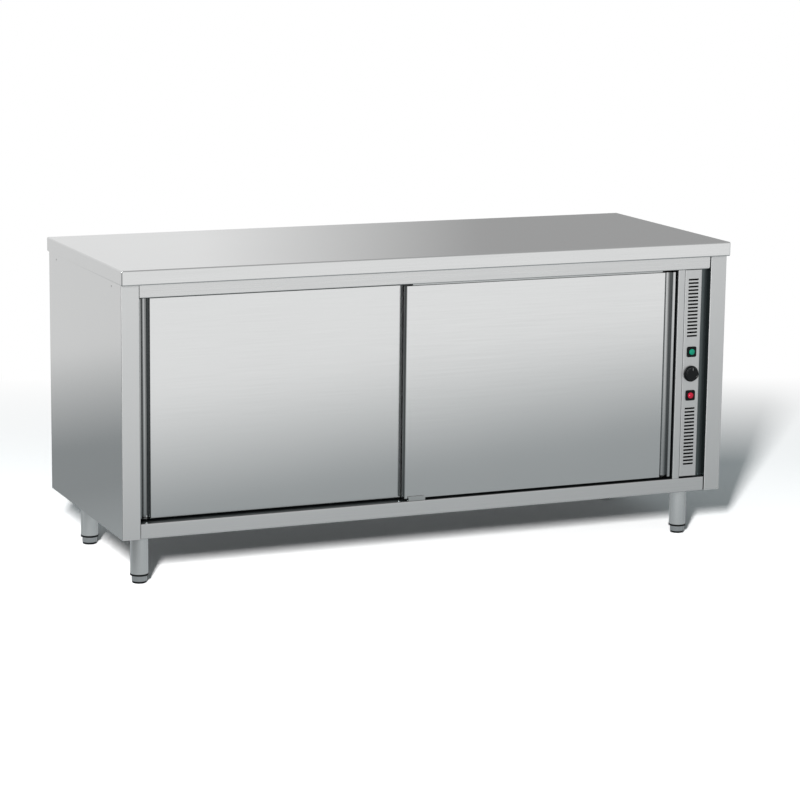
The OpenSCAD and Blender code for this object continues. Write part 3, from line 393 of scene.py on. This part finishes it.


# Ground round the tube; its colour is painted lighter than the sheet's, as painted light on the legs
lit_leg_steel = satin_steel("satin_stainless_tube", 0, "#f0f1f1", 0.24)
leg_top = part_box("bottom_panel")[0].z * 1000
tube_inside, cap_inside, pad_side = LEG_RADIUS - LEG_WALL, CAP_RADIUS - CAP_WALL, CAP_RADIUS - PAD_INSET
bore, core = SCREW_RADIUS + SCREW_PLAY, SCREW_RADIUS - THREAD_HEIGHT
collars = bmesh.new()
for name in LEG_NAMES:
    middle = centre_of(name + "_leg")
    foot = Vector((middle.x, middle.y, 0))
    tube = bmesh.new()
    turned(tube, rounded([(tube_inside, leg_top - LEG_DISC), (tube_inside, COLLAR_TOP),
        (LEG_RADIUS, COLLAR_TOP), (LEG_RADIUS, leg_top), (STUD_RADIUS, leg_top),
        (STUD_RADIUS, leg_top + STUD_REACH), (0, leg_top + STUD_REACH)], {3: 1.2}, 0.4), foot)
    turned(tube, [(0, leg_top - LEG_DISC), (tube_inside, leg_top - LEG_DISC)], foot)
    piece(name + "_leg_tube", tube, lit_leg_steel, "cabinet", "satin_steel", name + "_leg")
    turned(collars, rounded([(bore, PLUG_TOP), (bore, COLLAR_BASE), (COLLAR_RADIUS, COLLAR_BASE),
        (COLLAR_RADIUS, COLLAR_TOP), (tube_inside, COLLAR_TOP), (tube_inside, PLUG_TOP), (bore, PLUG_TOP)],
        {2: 1, 3: 0.8}, 0), foot)

    cap = bmesh.new()
    turned(cap, rounded([(0, COLLAR_BASE - CAP_WALL), (cap_inside, COLLAR_BASE - CAP_WALL),
        (cap_inside, CAP_BASE), (CAP_RADIUS, CAP_BASE), (CAP_RADIUS, COLLAR_BASE), (core, COLLAR_BASE),
        (core, SCREW_TOP), (0, SCREW_TOP)], {4: 2, 3: 0.4, 6: 0.8}, 0), foot)
    # The thread is one ridge wound round the stud, rooted just inside it
    root, start = core - 0.05, COLLAR_BASE + 0.1
    profile = ((root, start), (SCREW_RADIUS, start + SCREW_PITCH / 2), (root, start + SCREW_PITCH))
    ridge = [cap.verts.new(foot + Vector((r / 1000, 0, z / 1000))) for r, z in profile]
    ridge_edges = [cap.edges.new(pair) for pair in zip(ridge, ridge[1:])]
    turns = int((SCREW_TOP - COLLAR_BASE - 2) / SCREW_PITCH)
    bmesh.ops.spin(cap, geom=ridge + ridge_edges, cent=foot, axis=(0, 0, 1), angle=turns * 2 * math.pi,
        steps=turns * THREAD_STEPS, use_merge=False, dvec=(0, 0, SCREW_PITCH / (1000 * THREAD_STEPS)))
    piece(name + "_foot_cup", cap, bright_steel, name + "_foot", "bright_steel", name + "_foot_cap")

    # The pad's tread has a shallow groove round it
    pad = bmesh.new()
    turned(pad, rounded([(0, 0), (PAD_RADIUS - 3, 0), (PAD_RADIUS - 3.6, 0.8), (PAD_RADIUS - 2.2, 0.8),
        (PAD_RADIUS - 1.5, 0), (PAD_RADIUS, 1.5), (PAD_RADIUS, CAP_BASE), (pad_side, CAP_BASE),
        (pad_side, COLLAR_BASE - PAD_INSET), (0, COLLAR_BASE - PAD_INSET)], {4: 0.6, 5: 0.6}, 0), foot)
    piece(name + "_foot_tread", pad, black_plastic, name + "_foot", "black_plastic", name + "_foot_pad")
piece("leg_collar_set", collars, black_plastic, "cabinet", "black_plastic", "leg_collars")

# ---- Doors ----
# Each door is a tray folded from 1 mm satin stainless, with a half-round finger groove rolled down
# its outer edge, a wool core and a flat cover riveted on behind. The bends have a 2 mm outside
# radius.
DOOR_SHEET, DOOR_BEND, GROOVE_RADIUS, GROOVE_LIP, LIP_BEND = 1, 2, 12, 10.5, 1.2
DOOR_STEEL = "#dfe0e0"
# The finger groove, the lip and the door's left edge get painted shade. Each pair is a place, in
# mm to the right of the groove's middle or the door's left edge, and the share of its colour left there.
FRONT_GROOVE = [(-13.5, 1), (-8, 0.9), (0, 0.75), (4, 0.6), (7, 0.35), (10, 0.1), (11.8, 0.05),
    (13.2, 0.8), (25, 0.8)]
REAR_GROOVE = [(-13.5, 0.45), (-8, 0.5), (0, 0.6), (4, 0.55), (7, 0.4), (10, 0.16), (11.8, 0.08),
    (13.2, 1), (900, 1)]
FRONT_EDGE, REAR_EDGE = [(0, 0.08), (1, 0.1), (2.5, 1)], [(0, 0.45)]


def is_upright(edge):
    """Whether an edge of a door runs from its bottom to its top."""
    return abs(edge.verts[0].co.z - edge.verts[1].co.z) > 0.1


def is_level(edge):
    """Whether an edge of a door runs round its bottom or its top."""
    return abs(edge.verts[0].co.z - edge.verts[1].co.z) < 1e-6


for name, mirrored, at_groove, at_edge in (("front_door", False, FRONT_GROOVE, FRONT_EDGE),
        ("rear_door", True, REAR_GROOVE, REAR_EDGE)):
    low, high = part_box(name + "_skin")
    wide, deep, tall = high.x - low.x, high.y - low.y, high.z - low.z
    groove = wide - (GROOVE_LIP + GROOVE_RADIUS) / 1000
    radius = GROOVE_RADIUS / 1000
    centre = high.x - groove if mirrored else low.x + groove
    shares = [(low.x + mm / 1000, share) for mm, share in at_edge]
    shares += [(centre + mm / 1000, share) for mm, share in at_groove]
    door_steel = paint_shade_along(satin_steel("satin_stainless_" + name, 0, DOOR_STEEL), "X", shares)

    # A rectangle with the half-round groove in its front, seen from above, is extruded to the top
    tray = bmesh.new()
    start = tray.verts.new((groove - radius, 0, 0))
    arc = bmesh.ops.spin(tray, geom=[start], cent=(groove, 0, 0), axis=(0, 0, 1), angle=-math.pi, steps=24,
        use_merge=False, dvec=(0, 0, 0))
    end = next(v for v in arc["geom_last"] if isinstance(v, bmesh.types.BMVert))
    corners = [tray.verts.new(p) for p in ((0, 0, 0), (0, deep, 0), (wide, deep, 0), (wide, 0, 0))]
    plan = [start] + corners + [end]
    for pair in zip(plan, plan[1:]):
        tray.edges.new(pair)
    bmesh.ops.contextual_create(tray, geom=tray.edges[:])
    grown = bmesh.ops.extrude_face_region(tray, geom=tray.faces[:])
    risen = [v for v in grown["geom"] if isinstance(v, bmesh.types.BMVert)]
    bmesh.ops.translate(tray, vec=(0, 0, tall), verts=risen)
    bmesh.ops.recalc_face_normals(tray, faces=tray.faces)

    lips = [e for e in tray.edges if is_upright(e)
        and all(abs(v.co.y) < 1e-6 and abs(v.co.x - groove) < radius + 0.001 for v in e.verts)]
    bmesh.ops.bevel(tray, geom=lips, offset=LIP_BEND / 1000, segments=3, profile=0.5, affect="EDGES",
        material=-1)
    folds = [e for e in tray.edges if (is_upright(e)
        and all(abs(v.co.y) < 1e-6 and min(v.co.x, wide - v.co.x) < 1e-6 for v in e.verts))
        or (is_level(e) and min(v.co.y for v in e.verts) < deep - 1e-4)]
    bmesh.ops.bevel(tray, geom=folds, offset=DOOR_BEND / 1000, segments=4, profile=0.5, affect="EDGES",
        material=-1)
    back = [f for f in tray.faces if min(v.co.y for v in f.verts) > deep - 1e-5]
    bmesh.ops.delete(tray, geom=back, context="FACES")
    if mirrored:
        bmesh.ops.scale(tray, vec=(-1, 1, 1), verts=tray.verts)
        bmesh.ops.translate(tray, vec=(wide, 0, 0), verts=tray.verts)
    bmesh.ops.translate(tray, vec=low, verts=tray.verts)
    piece(name + "_tray", tray, door_steel, name, "door_steel", name + "_skin", angle=25, wall=DOOR_SHEET)

# ---- Rollers ----
# Acetal rollers with a ball bearing pressed in, on the axles of the hangers. Each has a chamfered
# tread, a web that is recessed on both sides and a raised ring where the bearing sits.
ROLLER_RADIUS, ROLLER_WIDTH, AXLE_RADIUS = 11, 6, 2.55
WEB_DEPTH, TREAD_INSIDE, TREAD_CHAMFER = 0.9, 9, 0.6
for door in ("front", "rear"):
    for side in ("left", "right"):
        low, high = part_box(f"{door}_roller_{side}")
        at = Vector(((low.x + high.x) / 2, low.y, (low.z + high.z) / 2))
        near_side = [(AXLE_RADIUS, 0.4), (AXLE_RADIUS + 2.4, 0.4), (AXLE_RADIUS + 2.6, 0),
            (AXLE_RADIUS + 3.4, 0), (AXLE_RADIUS + 3.8, WEB_DEPTH), (TREAD_INSIDE - 0.4, WEB_DEPTH),
            (TREAD_INSIDE, 0), (ROLLER_RADIUS - TREAD_CHAMFER, 0), (ROLLER_RADIUS, TREAD_CHAMFER)]
        far_side = [(r, ROLLER_WIDTH - d) for r, d in reversed(near_side)]
        wheel = bmesh.new()
        turned(wheel, near_side + far_side + near_side[:1], at, "Y", 48)
        piece(f"{door}_roller_{side}_wheel", wheel, white_plastic, f"{door}_{side}_roller", "white_plastic",
            f"{door}_roller_{side}")

# ---- Pilot lamps ----
# Two snap-in pilot lamps: a black polyamide bezel and barrel with two tabs behind, and a clear
# coloured polycarbonate lens with fine rings inside that spread the light.
BEZEL_HALF, BEZEL_CORNER, BEZEL_THICK, BEZEL_EDGE = 15, 5, 2.5, 0.9
BARREL_RADIUS, BARREL_LENGTH = 11, 24
TAB_WIDE, TAB_LONG, TAB_THICK, TAB_APART = 5, 10, 0.8, 10
TAB_REACH = 4           # mm from the barrel's end to the middle of a tab
LENS_RADIUS, LENS_BASE, LENS_FRONT = 8.5, -1.5, -7.5
# The lamps are off; the lenses' faint glow is painted light
LENS_PAINTED_GLOW = 0.25
RING_SCALE = 1000 / 9   # of the wave texture, which gives rings 2.8 mm apart
panel_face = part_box("control_panel")[0].y
for name, tint in (("green", "#0f9c7c"), ("red", "#cf1f3e")):
    middle = centre_of(name + "_lamp_bezel")
    at = Vector((middle.x, panel_face, middle.z))
    bezel = bmesh.new()
    bmesh.ops.create_cube(bezel, size=1)
    bmesh.ops.scale(bezel, vec=(2 * BEZEL_HALF / 1000, BEZEL_THICK / 1000, 2 * BEZEL_HALF / 1000),
        verts=bezel.verts)
    bmesh.ops.translate(bezel, vec=at - Vector((0, BEZEL_THICK / 2000, 0)), verts=bezel.verts)
    corners = [e for e in bezel.edges if abs(e.verts[0].co.y - e.verts[1].co.y) > 1e-4]
    bmesh.ops.bevel(bezel, geom=corners, offset=BEZEL_CORNER / 1000, segments=10, profile=0.5,
        affect="EDGES", material=-1)
    front_edges = [e for e in bezel.edges if max(v.co.y for v in e.verts) < panel_face - 0.002]
    bmesh.ops.bevel(bezel, geom=front_edges, offset=BEZEL_EDGE / 1000, segments=3, profile=0.5,
        affect="EDGES", material=-1)
    # A raised ring round the lens, the barrel through the panel, and its two tabs
    bezel_front = -BEZEL_THICK
    turned(bezel, rounded([(LENS_RADIUS + 0.15, bezel_front + 0.4), (LENS_RADIUS + 0.15, bezel_front - 0.5),
        (LENS_RADIUS + 1.5, bezel_front - 0.5), (LENS_RADIUS + 2, bezel_front + 0.1)],
        {1: 0.2, 2: 0.3}, 0), at, "Y")
    turned(bezel, rounded([(BARREL_RADIUS, -0.5), (BARREL_RADIUS, BARREL_LENGTH), (0, BARREL_LENGTH)],
        {1: 1.5}, 0), at, "Y")
    for side in (-1, 1):
        tab = bmesh.ops.create_cube(bezel, size=1)["verts"]
        bmesh.ops.scale(bezel, vec=(TAB_WIDE / 1000, TAB_LONG / 1000, TAB_THICK / 1000), verts=tab)
        tab_place = Vector((side * TAB_APART / 2000, (BARREL_LENGTH + TAB_REACH) / 1000, 0))
        bmesh.ops.translate(bezel, vec=at + tab_place, verts=tab)
    piece(name + "_lamp_housing", bezel, black_plastic, "cabinet", "black_plastic", name + "_lamp_bezel")

    clear, tree, shader, place = new_finish(name + "_polycarbonate", tint, 0, 0.12)
    local = add_node(tree, "ShaderNodeMapping", {"Vector": place, "Location": [-at.x, 0, -at.z],
        "Scale": [1, 0, 1]})
    rings = add_node(tree, "ShaderNodeTexWave", {"Vector": local.outputs[0], "Scale": RING_SCALE,
        "Distortion": 0}, wave_type="RINGS", rings_direction="SPHERICAL")
    ripple = add_node(tree, "ShaderNodeBump", {"Height": rings.outputs["Fac"], "Strength": 0.35,
        "Distance": 0.0004})
    tree.links.new(ripple.outputs[0], shader.inputs["Normal"])
    shader.inputs["IOR"].default_value = 1.58
    shader.inputs["Specular IOR Level"].default_value = 0.25
    shader.inputs["Emission Color"].default_value = colour(tint)
    shader.inputs["Emission Strength"].default_value = LENS_PAINTED_GLOW
    lens = bmesh.new()
    turned(lens, rounded([(0, LENS_BASE), (LENS_RADIUS, LENS_BASE), (LENS_RADIUS, LENS_FRONT + 2.5),
        (LENS_RADIUS * 0.55, LENS_FRONT + 0.6), (0, LENS_FRONT)], {2: 1.6}, 1.5), at, "Y")
    piece(name + "_lamp_cap", lens, clear, "cabinet", name + "_lens", name + "_lamp_lens")

# ---- Thermostat knob ----
# Black thermoset knob pressed on the thermostat's spindle: a bevelled skirt, a fluted grip with a
# dished face, and a grey pointer mark at its top.
SKIRT_RADIUS, SKIRT_HEIGHT, GRIP_RADIUS, KNOB_HEIGHT, KNOB_GAP = 23, 3.5, 19, 13.5, 0.5
FLUTES, FLUTE_DEPTH = 24, 0.9
RIM_WIDTH, DISH_DEPTH = 3.2, 0.8
POINTER_WIDE, POINTER_DEEP, POINTER_LONG, POINTER_OUT = 1.8, 1.2, 7.5, 14.5
knob_plastic = moulded("black_thermoset", "#0a0f11", 0.36)
knob_plastic.node_tree.nodes["Principled BSDF"].inputs["Specular IOR Level"].default_value = 0.25
middle = centre_of("control_knob")
at = Vector((middle.x, panel_face - KNOB_GAP / 1000, middle.z))
knob = bmesh.new()
grip = turned(knob, rounded([(0, 0), (SKIRT_RADIUS, 0), (SKIRT_RADIUS, -SKIRT_HEIGHT + 0.8),
    (SKIRT_RADIUS - 1.5, -SKIRT_HEIGHT), (GRIP_RADIUS + 0.5, -SKIRT_HEIGHT),
    (GRIP_RADIUS - 0.5, -KNOB_HEIGHT), (GRIP_RADIUS - RIM_WIDTH, -KNOB_HEIGHT),
    (GRIP_RADIUS - RIM_WIDTH - 1, -KNOB_HEIGHT + DISH_DEPTH), (0, -KNOB_HEIGHT + DISH_DEPTH)],
    {2: 0.6, 3: 0.6, 4: 0.5, 5: 1, 6: 0.5, 7: 0.5}, 0), at, "Y", FLUTES * 10)
# The flutes are pressed in between the skirt and the dish
for v in grip:
    out = Vector((v.co.x - at.x, 0, v.co.z - at.z))
    if v.co.y < at.y - SKIRT_HEIGHT / 1000 - 0.0002 and out.length > (GRIP_RADIUS - 2) / 1000:
        wave = max(0, math.cos(FLUTES * math.atan2(out.x, out.z))) ** 1.5
        v.co -= out.normalized() * wave * FLUTE_DEPTH / 1000
piece("thermostat_knob", knob, knob_plastic, "knob", "knob_plastic", "control_knob")
pointer = bmesh.new()
bmesh.ops.create_cube(pointer, size=1)
bmesh.ops.scale(pointer, vec=(POINTER_WIDE / 1000, POINTER_DEEP / 1000, POINTER_LONG / 1000),
    verts=pointer.verts)
bmesh.ops.bevel(pointer, geom=pointer.edges[:], offset=0.0003, segments=2, profile=0.5, affect="EDGES",
    material=-1)
bmesh.ops.translate(pointer, vec=at + Vector((0, -(KNOB_HEIGHT - 0.5) / 1000, POINTER_OUT / 1000)),
    verts=pointer.verts)
piece("knob_pointer", pointer, moulded("grey_mark", "#8f9294", 0.5), "knob", "knob_plastic")

# ---- Worktop ----
# One 1.5 mm sheet of satin stainless, folded down 40 mm and in 25 mm, its corners welded and
# ground, with a board bonded underneath that deadens it. Ground lengthwise.
TOP_BEND, TOP_FLANGE, TOP_SHEET = 3.5, 25, 1.5
WOOD_FLAKE = 5          # mm
low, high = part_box("worktop")
slab = bmesh.new()
bmesh.ops.create_cube(slab, size=1)
bmesh.ops.scale(slab, vec=high - low, verts=slab.verts)
bmesh.ops.translate(slab, vec=(low + high) / 2, verts=slab.verts)
bmesh.ops.bevel(slab, geom=slab.edges[:], offset=TOP_BEND / 1000, segments=6, profile=0.5, affect="EDGES",
    material=-1)
under = [f for f in slab.faces if f.normal.z < -0.999 and f.calc_area() > 0.5]
bmesh.ops.inset_region(slab, faces=under, thickness=(TOP_FLANGE - TOP_BEND) / 1000, depth=0)
bmesh.ops.delete(slab, geom=under, context="FACES")
bmesh.ops.recalc_face_normals(slab, faces=slab.faces)
bmesh.ops.solidify(slab, geom=slab.faces[:], thickness=TOP_SHEET / 1000)
piece("worktop_sheet", slab, satin_steel("satin_stainless_top", 0), "cabinet",
    "worktop_steel", "worktop")


def chipboard(name):
    """Particle board: pressed wood flakes, 3 to 6 mm, in a light brown binder."""
    material, tree, shader, place = new_finish(name, "#a88a62", 0, 0.85)
    flakes = add_node(tree, "ShaderNodeTexVoronoi", {"Vector": place, "Scale": 1000 / WOOD_FLAKE})
    wood = add_node(tree, "ShaderNodeSeparateColor", {"Color": flakes.outputs["Color"]})
    shade = add_node(tree, "ShaderNodeMix", {0: wood.outputs[0], 6: colour("#b99b70"), 7: colour("#8d7049")},
        data_type="RGBA")
    tree.links.new(shade.outputs[2], shader.inputs["Base Color"])
    return material


dress(chipboard("particle_board"), "worktop_board")

# ---- Blind rivets ----
# Steel blind rivets, 4 mm, with a domed head and the stub of the pulled pin in the middle:
# down both rear flanges, and along the top and bottom of the cover of each door.
RIVET_RADIUS, RIVET_HEIGHT, PIN_RADIUS = 3.3, 1.1, 1.1
ROW_END = 0.03          # metres from the first and last rivet of a row to the end of the sheet
FLANGE_RIVETS, FLANGE_INSET = 7, 0.014
COVER_RIVETS, COVER_INSET = 6, 0.01


def rivets(name, places, body):
    """Rivets that face the back, at points on the face they hold."""
    bm = bmesh.new()
    for at in places:
        turned(bm, rounded([(RIVET_RADIUS, -0.2), (RIVET_RADIUS, 0.2), (RIVET_RADIUS - 1.2, RIVET_HEIGHT),
            (PIN_RADIUS, RIVET_HEIGHT), (PIN_RADIUS - 0.1, RIVET_HEIGHT - 0.3), (0, RIVET_HEIGHT - 0.2)],
            {2: 0.8}, 0), Vector(at), "Y", 16)
    piece(name, bm, bright_steel, body, "bright_steel")


def row(low, high, count):
    """Places of a row of rivets between the two ends of a sheet."""
    return [low + ROW_END + i * (high - low - 2 * ROW_END) / (count - 1) for i in range(count)]


low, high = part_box("left_side_panel")[0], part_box("right_side_panel")[1]
rivets("back_flange_rivets", [(x, high.y, z) for x in (low.x + FLANGE_INSET, high.x - FLANGE_INSET)
    for z in row(low.z, high.z, FLANGE_RIVETS)], "cabinet")
for door in ("front_door", "rear_door"):
    low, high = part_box(door + "_back")
    rivets(door + "_cover_rivets", [(x, high.y, z) for x in row(low.x, high.x, COVER_RIVETS)
        for z in (low.z + COVER_INSET, high.z - COVER_INSET)], door)

# ---- Studio ----
# White paper on the floor of a pale room, lit by one soft box from the front left. Metal sees grey
# paper near and white paper further off, a wall behind the cabinet, bright at the left and dark at
# the right, and a dimmer ceiling. The camera sees the paper overexposed, with the cabinet's shadow.
CAMERA_PLACE = Vector((-2.9832, -7.0459, 1.8798))
CAMERA_YAW, CAMERA_PITCH, CAMERA_ROLL = 23.193, 11.026, 0.688   # degrees
CAMERA_LENS = 122.95    # mm
LAMP_AZIMUTH, LAMP_HEIGHT = -149.5, 24.5    # degrees from +Y towards +X, and above the floor
LAMP_DISTANCE, LAMP_POWER = 9.5, 590        # metres and watts
LAMP_WIDE, LAMP_TALL = 0.7, 1.5
FLOOR_RADIUS = 60       # metres
OVEREXPOSED = 3.4       # how much brighter the camera sees the paper
WHITE = [1, 1, 1, 1]
PAPER_GREY = [0.385, 0.41, 0.418, 1]    # what metal sees of the paper that the cabinet stands on
PAPER_NEAR, PAPER_FAR = 1.05, 2.55  # metres before and behind a line where the grey turns white
LINE_SLANT, LINE_SHIFT = -0.075, 0.12   # this line runs nearly across the view, through the cabinet
PAPER_BEHIND = 0.78     # how bright the paper behind the cabinet looks against the paper in front
BEHIND_EDGE = (-0.3, 0.3)   # metres along the view over which it changes from front to behind
SCREENED = 0.5          # how bright it looks at the front left, where a screen keeps the light off
SCREEN_EDGE, SCREEN_DEPTH = (-1.6, -0.95), (-0.7, -0.2)     # metres over which its effect fades
SCREEN_SLANT = 0.6      # metres that its edge moves left for each metre along the view
ROOM, CEILING = 0.66, 0.5
WALL, WALL_DARK = 0.88, 0.39
WALL_EDGE, WALL_END = (19, 24.8), (50, 75)  # degrees from +Y where the wall darkens, and where it ends
CEILING_EDGE = (0.3, 0.7)   # heights on a unit sphere between which wall turns to ceiling
FILL = 0.062            # what the room adds to surfaces that scatter light, such as the paper
FILL_TINT = [0.86, 1, 1.04, 1]  # the sky's share of it is a little cool
camera = bpy.data.objects.new("camera", bpy.data.cameras.new("camera"))
camera.data.sensor_width = 36
camera.data.lens = CAMERA_LENS
camera.location = CAMERA_PLACE
camera.rotation_euler = (Matrix.Rotation(-math.radians(CAMERA_YAW), 3, "Z")
    @ Matrix.Rotation(math.radians(90 - CAMERA_PITCH), 3, "X")
    @ Matrix.Rotation(math.radians(CAMERA_ROLL), 3, "Z")).to_euler()
scene.collection.objects.link(camera)
scene.camera = camera

lamp = bpy.data.objects.new("soft_box", bpy.data.lights.new("soft_box", "AREA"))
lamp.data.shape = "RECTANGLE"
lamp.data.size = LAMP_WIDE
lamp.data.size_y = LAMP_TALL
lamp.data.energy = LAMP_POWER
around, up = math.radians(LAMP_AZIMUTH), math.radians(LAMP_HEIGHT)
toward = Vector((math.sin(around) * math.cos(up), math.cos(around) * math.cos(up), math.sin(up)))
lamp.location = toward * LAMP_DISTANCE
lamp.rotation_euler = toward.to_track_quat("Z", "Y").to_euler()
scene.collection.objects.link(lamp)

floor_mesh = bmesh.new()
bmesh.ops.create_circle(floor_mesh, cap_ends=True, radius=FLOOR_RADIUS, segments=64)
mesh = bpy.data.meshes.new("floor")
floor_mesh.to_mesh(mesh)
floor_mesh.free()
floor = bpy.data.objects.new("floor", mesh)
scene.collection.objects.link(floor)
paper = bpy.data.materials.new("floor_paper")
paper.use_nodes = True
tree = paper.node_tree
tree.nodes.clear()
place = add_node(tree, "ShaderNodeTexCoord", {})
ray = add_node(tree, "ShaderNodeLightPath", {})
# X now runs across the view and Y along it
turned_place = add_node(tree, "ShaderNodeMapping", {"Vector": place.outputs["Object"],
    "Rotation": [0, 0, math.radians(CAMERA_YAW)]})
axes = add_node(tree, "ShaderNodeSeparateXYZ", {"Vector": turned_place.outputs[0]})
slanted = add_node(tree, "ShaderNodeMath", {0: axes.outputs["X"], 1: LINE_SLANT, 2: axes.outputs["Y"]},
    operation="MULTIPLY_ADD")
along = add_node(tree, "ShaderNodeMath", {0: slanted.outputs[0], 1: LINE_SHIFT}, operation="ADD")
away = add_node(tree, "ShaderNodeMath", {0: along.outputs[0]}, operation="ABSOLUTE")
beyond = add_node(tree, "ShaderNodeMapRange", {"Value": away.outputs[0], "From Min": PAPER_NEAR,
    "From Max": PAPER_FAR})
# Behind the cabinet the paper is a little darker, and at the front left a screen keeps light off it
behind = add_node(tree, "ShaderNodeMapRange", {"Value": axes.outputs["Y"], "From Min": BEHIND_EDGE[0],
    "From Max": BEHIND_EDGE[1], "To Min": 1, "To Max": PAPER_BEHIND})
leftward = add_node(tree, "ShaderNodeMath", {0: axes.outputs["Y"], 1: SCREEN_SLANT, 2: axes.outputs["X"]},
    operation="MULTIPLY_ADD")
screen = add_node(tree, "ShaderNodeMapRange", {"Value": leftward.outputs[0], "From Min": SCREEN_EDGE[0],
    "From Max": SCREEN_EDGE[1], "To Min": SCREENED, "To Max": 1})
frontal = add_node(tree, "ShaderNodeMapRange", {"Value": axes.outputs["Y"], "From Min": SCREEN_DEPTH[0],
    "From Max": SCREEN_DEPTH[1]})
screened = add_node(tree, "ShaderNodeMix", {0: frontal.outputs[0], 2: screen.outputs[0], 3: 1})
glossy_paper = add_node(tree, "ShaderNodeMath", {0: screened.outputs[0], 1: behind.outputs[0]},
    operation="MULTIPLY")
# What metal and other surfaces see of it
bounced = add_node(tree, "ShaderNodeMath", {0: ray.outputs["Diffuse Depth"], 1: 0.5},
    operation="GREATER_THAN")
plain = add_node(tree, "ShaderNodeMix", {0: beyond.outputs[0], 6: PAPER_GREY, 7: WHITE},
    data_type="RGBA")
level = add_node(tree, "ShaderNodeMix", {0: bounced.outputs[0], 2: glossy_paper.outputs[0], 3: FILL})
reflected = add_node(tree, "ShaderNodeEmission", {"Color": plain.outputs[2], "Strength": level.outputs[0]})
# What the camera sees
lit = add_node(tree, "ShaderNodeBsdfDiffuse", {"Color": [OVEREXPOSED] * 3 + [1]})
white = add_node(tree, "ShaderNodeEmission", {"Strength": 1})
pictured = add_node(tree, "ShaderNodeMixShader", {0: beyond.outputs[0], 1: lit.outputs[0],
    2: white.outputs[0]})
both = add_node(tree, "ShaderNodeMixShader", {0: ray.outputs["Is Camera Ray"], 1: reflected.outputs[0],
    2: pictured.outputs[0]})
add_node(tree, "ShaderNodeOutputMaterial", {"Surface": both.outputs[0]})
mesh.materials.append(paper)

world = bpy.data.worlds.new("surround")
scene.world = world
world.use_nodes = True
tree = world.node_tree
tree.nodes.clear()
ray = add_node(tree, "ShaderNodeLightPath", {})
direction = add_node(tree, "ShaderNodeTexCoord", {})
axes = add_node(tree, "ShaderNodeSeparateXYZ", {"Vector": direction.outputs["Generated"]})
azimuth = add_node(tree, "ShaderNodeMath", {0: axes.outputs["X"], 1: axes.outputs["Y"]},
    operation="ARCTAN2")
behind_wall = add_node(tree, "ShaderNodeMapRange", {"Value": azimuth.outputs[0],
    "From Min": math.radians(WALL_EDGE[0]), "From Max": math.radians(WALL_EDGE[1]), "To Min": WALL,
    "To Max": WALL_DARK})
aside = add_node(tree, "ShaderNodeMath", {0: azimuth.outputs[0]}, operation="ABSOLUTE")
open_room = add_node(tree, "ShaderNodeMapRange", {"Value": aside.outputs[0],
    "From Min": math.radians(WALL_END[0]), "From Max": math.radians(WALL_END[1])})
walls = add_node(tree, "ShaderNodeMix", {0: open_room.outputs[0], 2: behind_wall.outputs[0], 3: ROOM})
upward = add_node(tree, "ShaderNodeMapRange", {"Value": axes.outputs["Z"], "From Min": CEILING_EDGE[0],
    "From Max": CEILING_EDGE[1]})
room = add_node(tree, "ShaderNodeMix", {0: upward.outputs[0], 2: walls.outputs[0], 3: CEILING})
bounced = add_node(tree, "ShaderNodeMath", {0: ray.outputs["Diffuse Depth"], 1: 0.5},
    operation="GREATER_THAN")
soft = add_node(tree, "ShaderNodeMix", {0: bounced.outputs[0], 2: room.outputs[0], 3: FILL})
seen = add_node(tree, "ShaderNodeMix", {0: ray.outputs["Is Camera Ray"], 2: soft.outputs[0], 3: 1.0})
cool = add_node(tree, "ShaderNodeMix", {0: bounced.outputs[0], 6: WHITE, 7: FILL_TINT},
    data_type="RGBA")
sky = add_node(tree, "ShaderNodeBackground", {"Color": cool.outputs[2], "Strength": seen.outputs[0]})
add_node(tree, "ShaderNodeOutputWorld", {"Surface": sky.outputs[0]})

scene.view_settings.view_transform = "Standard"
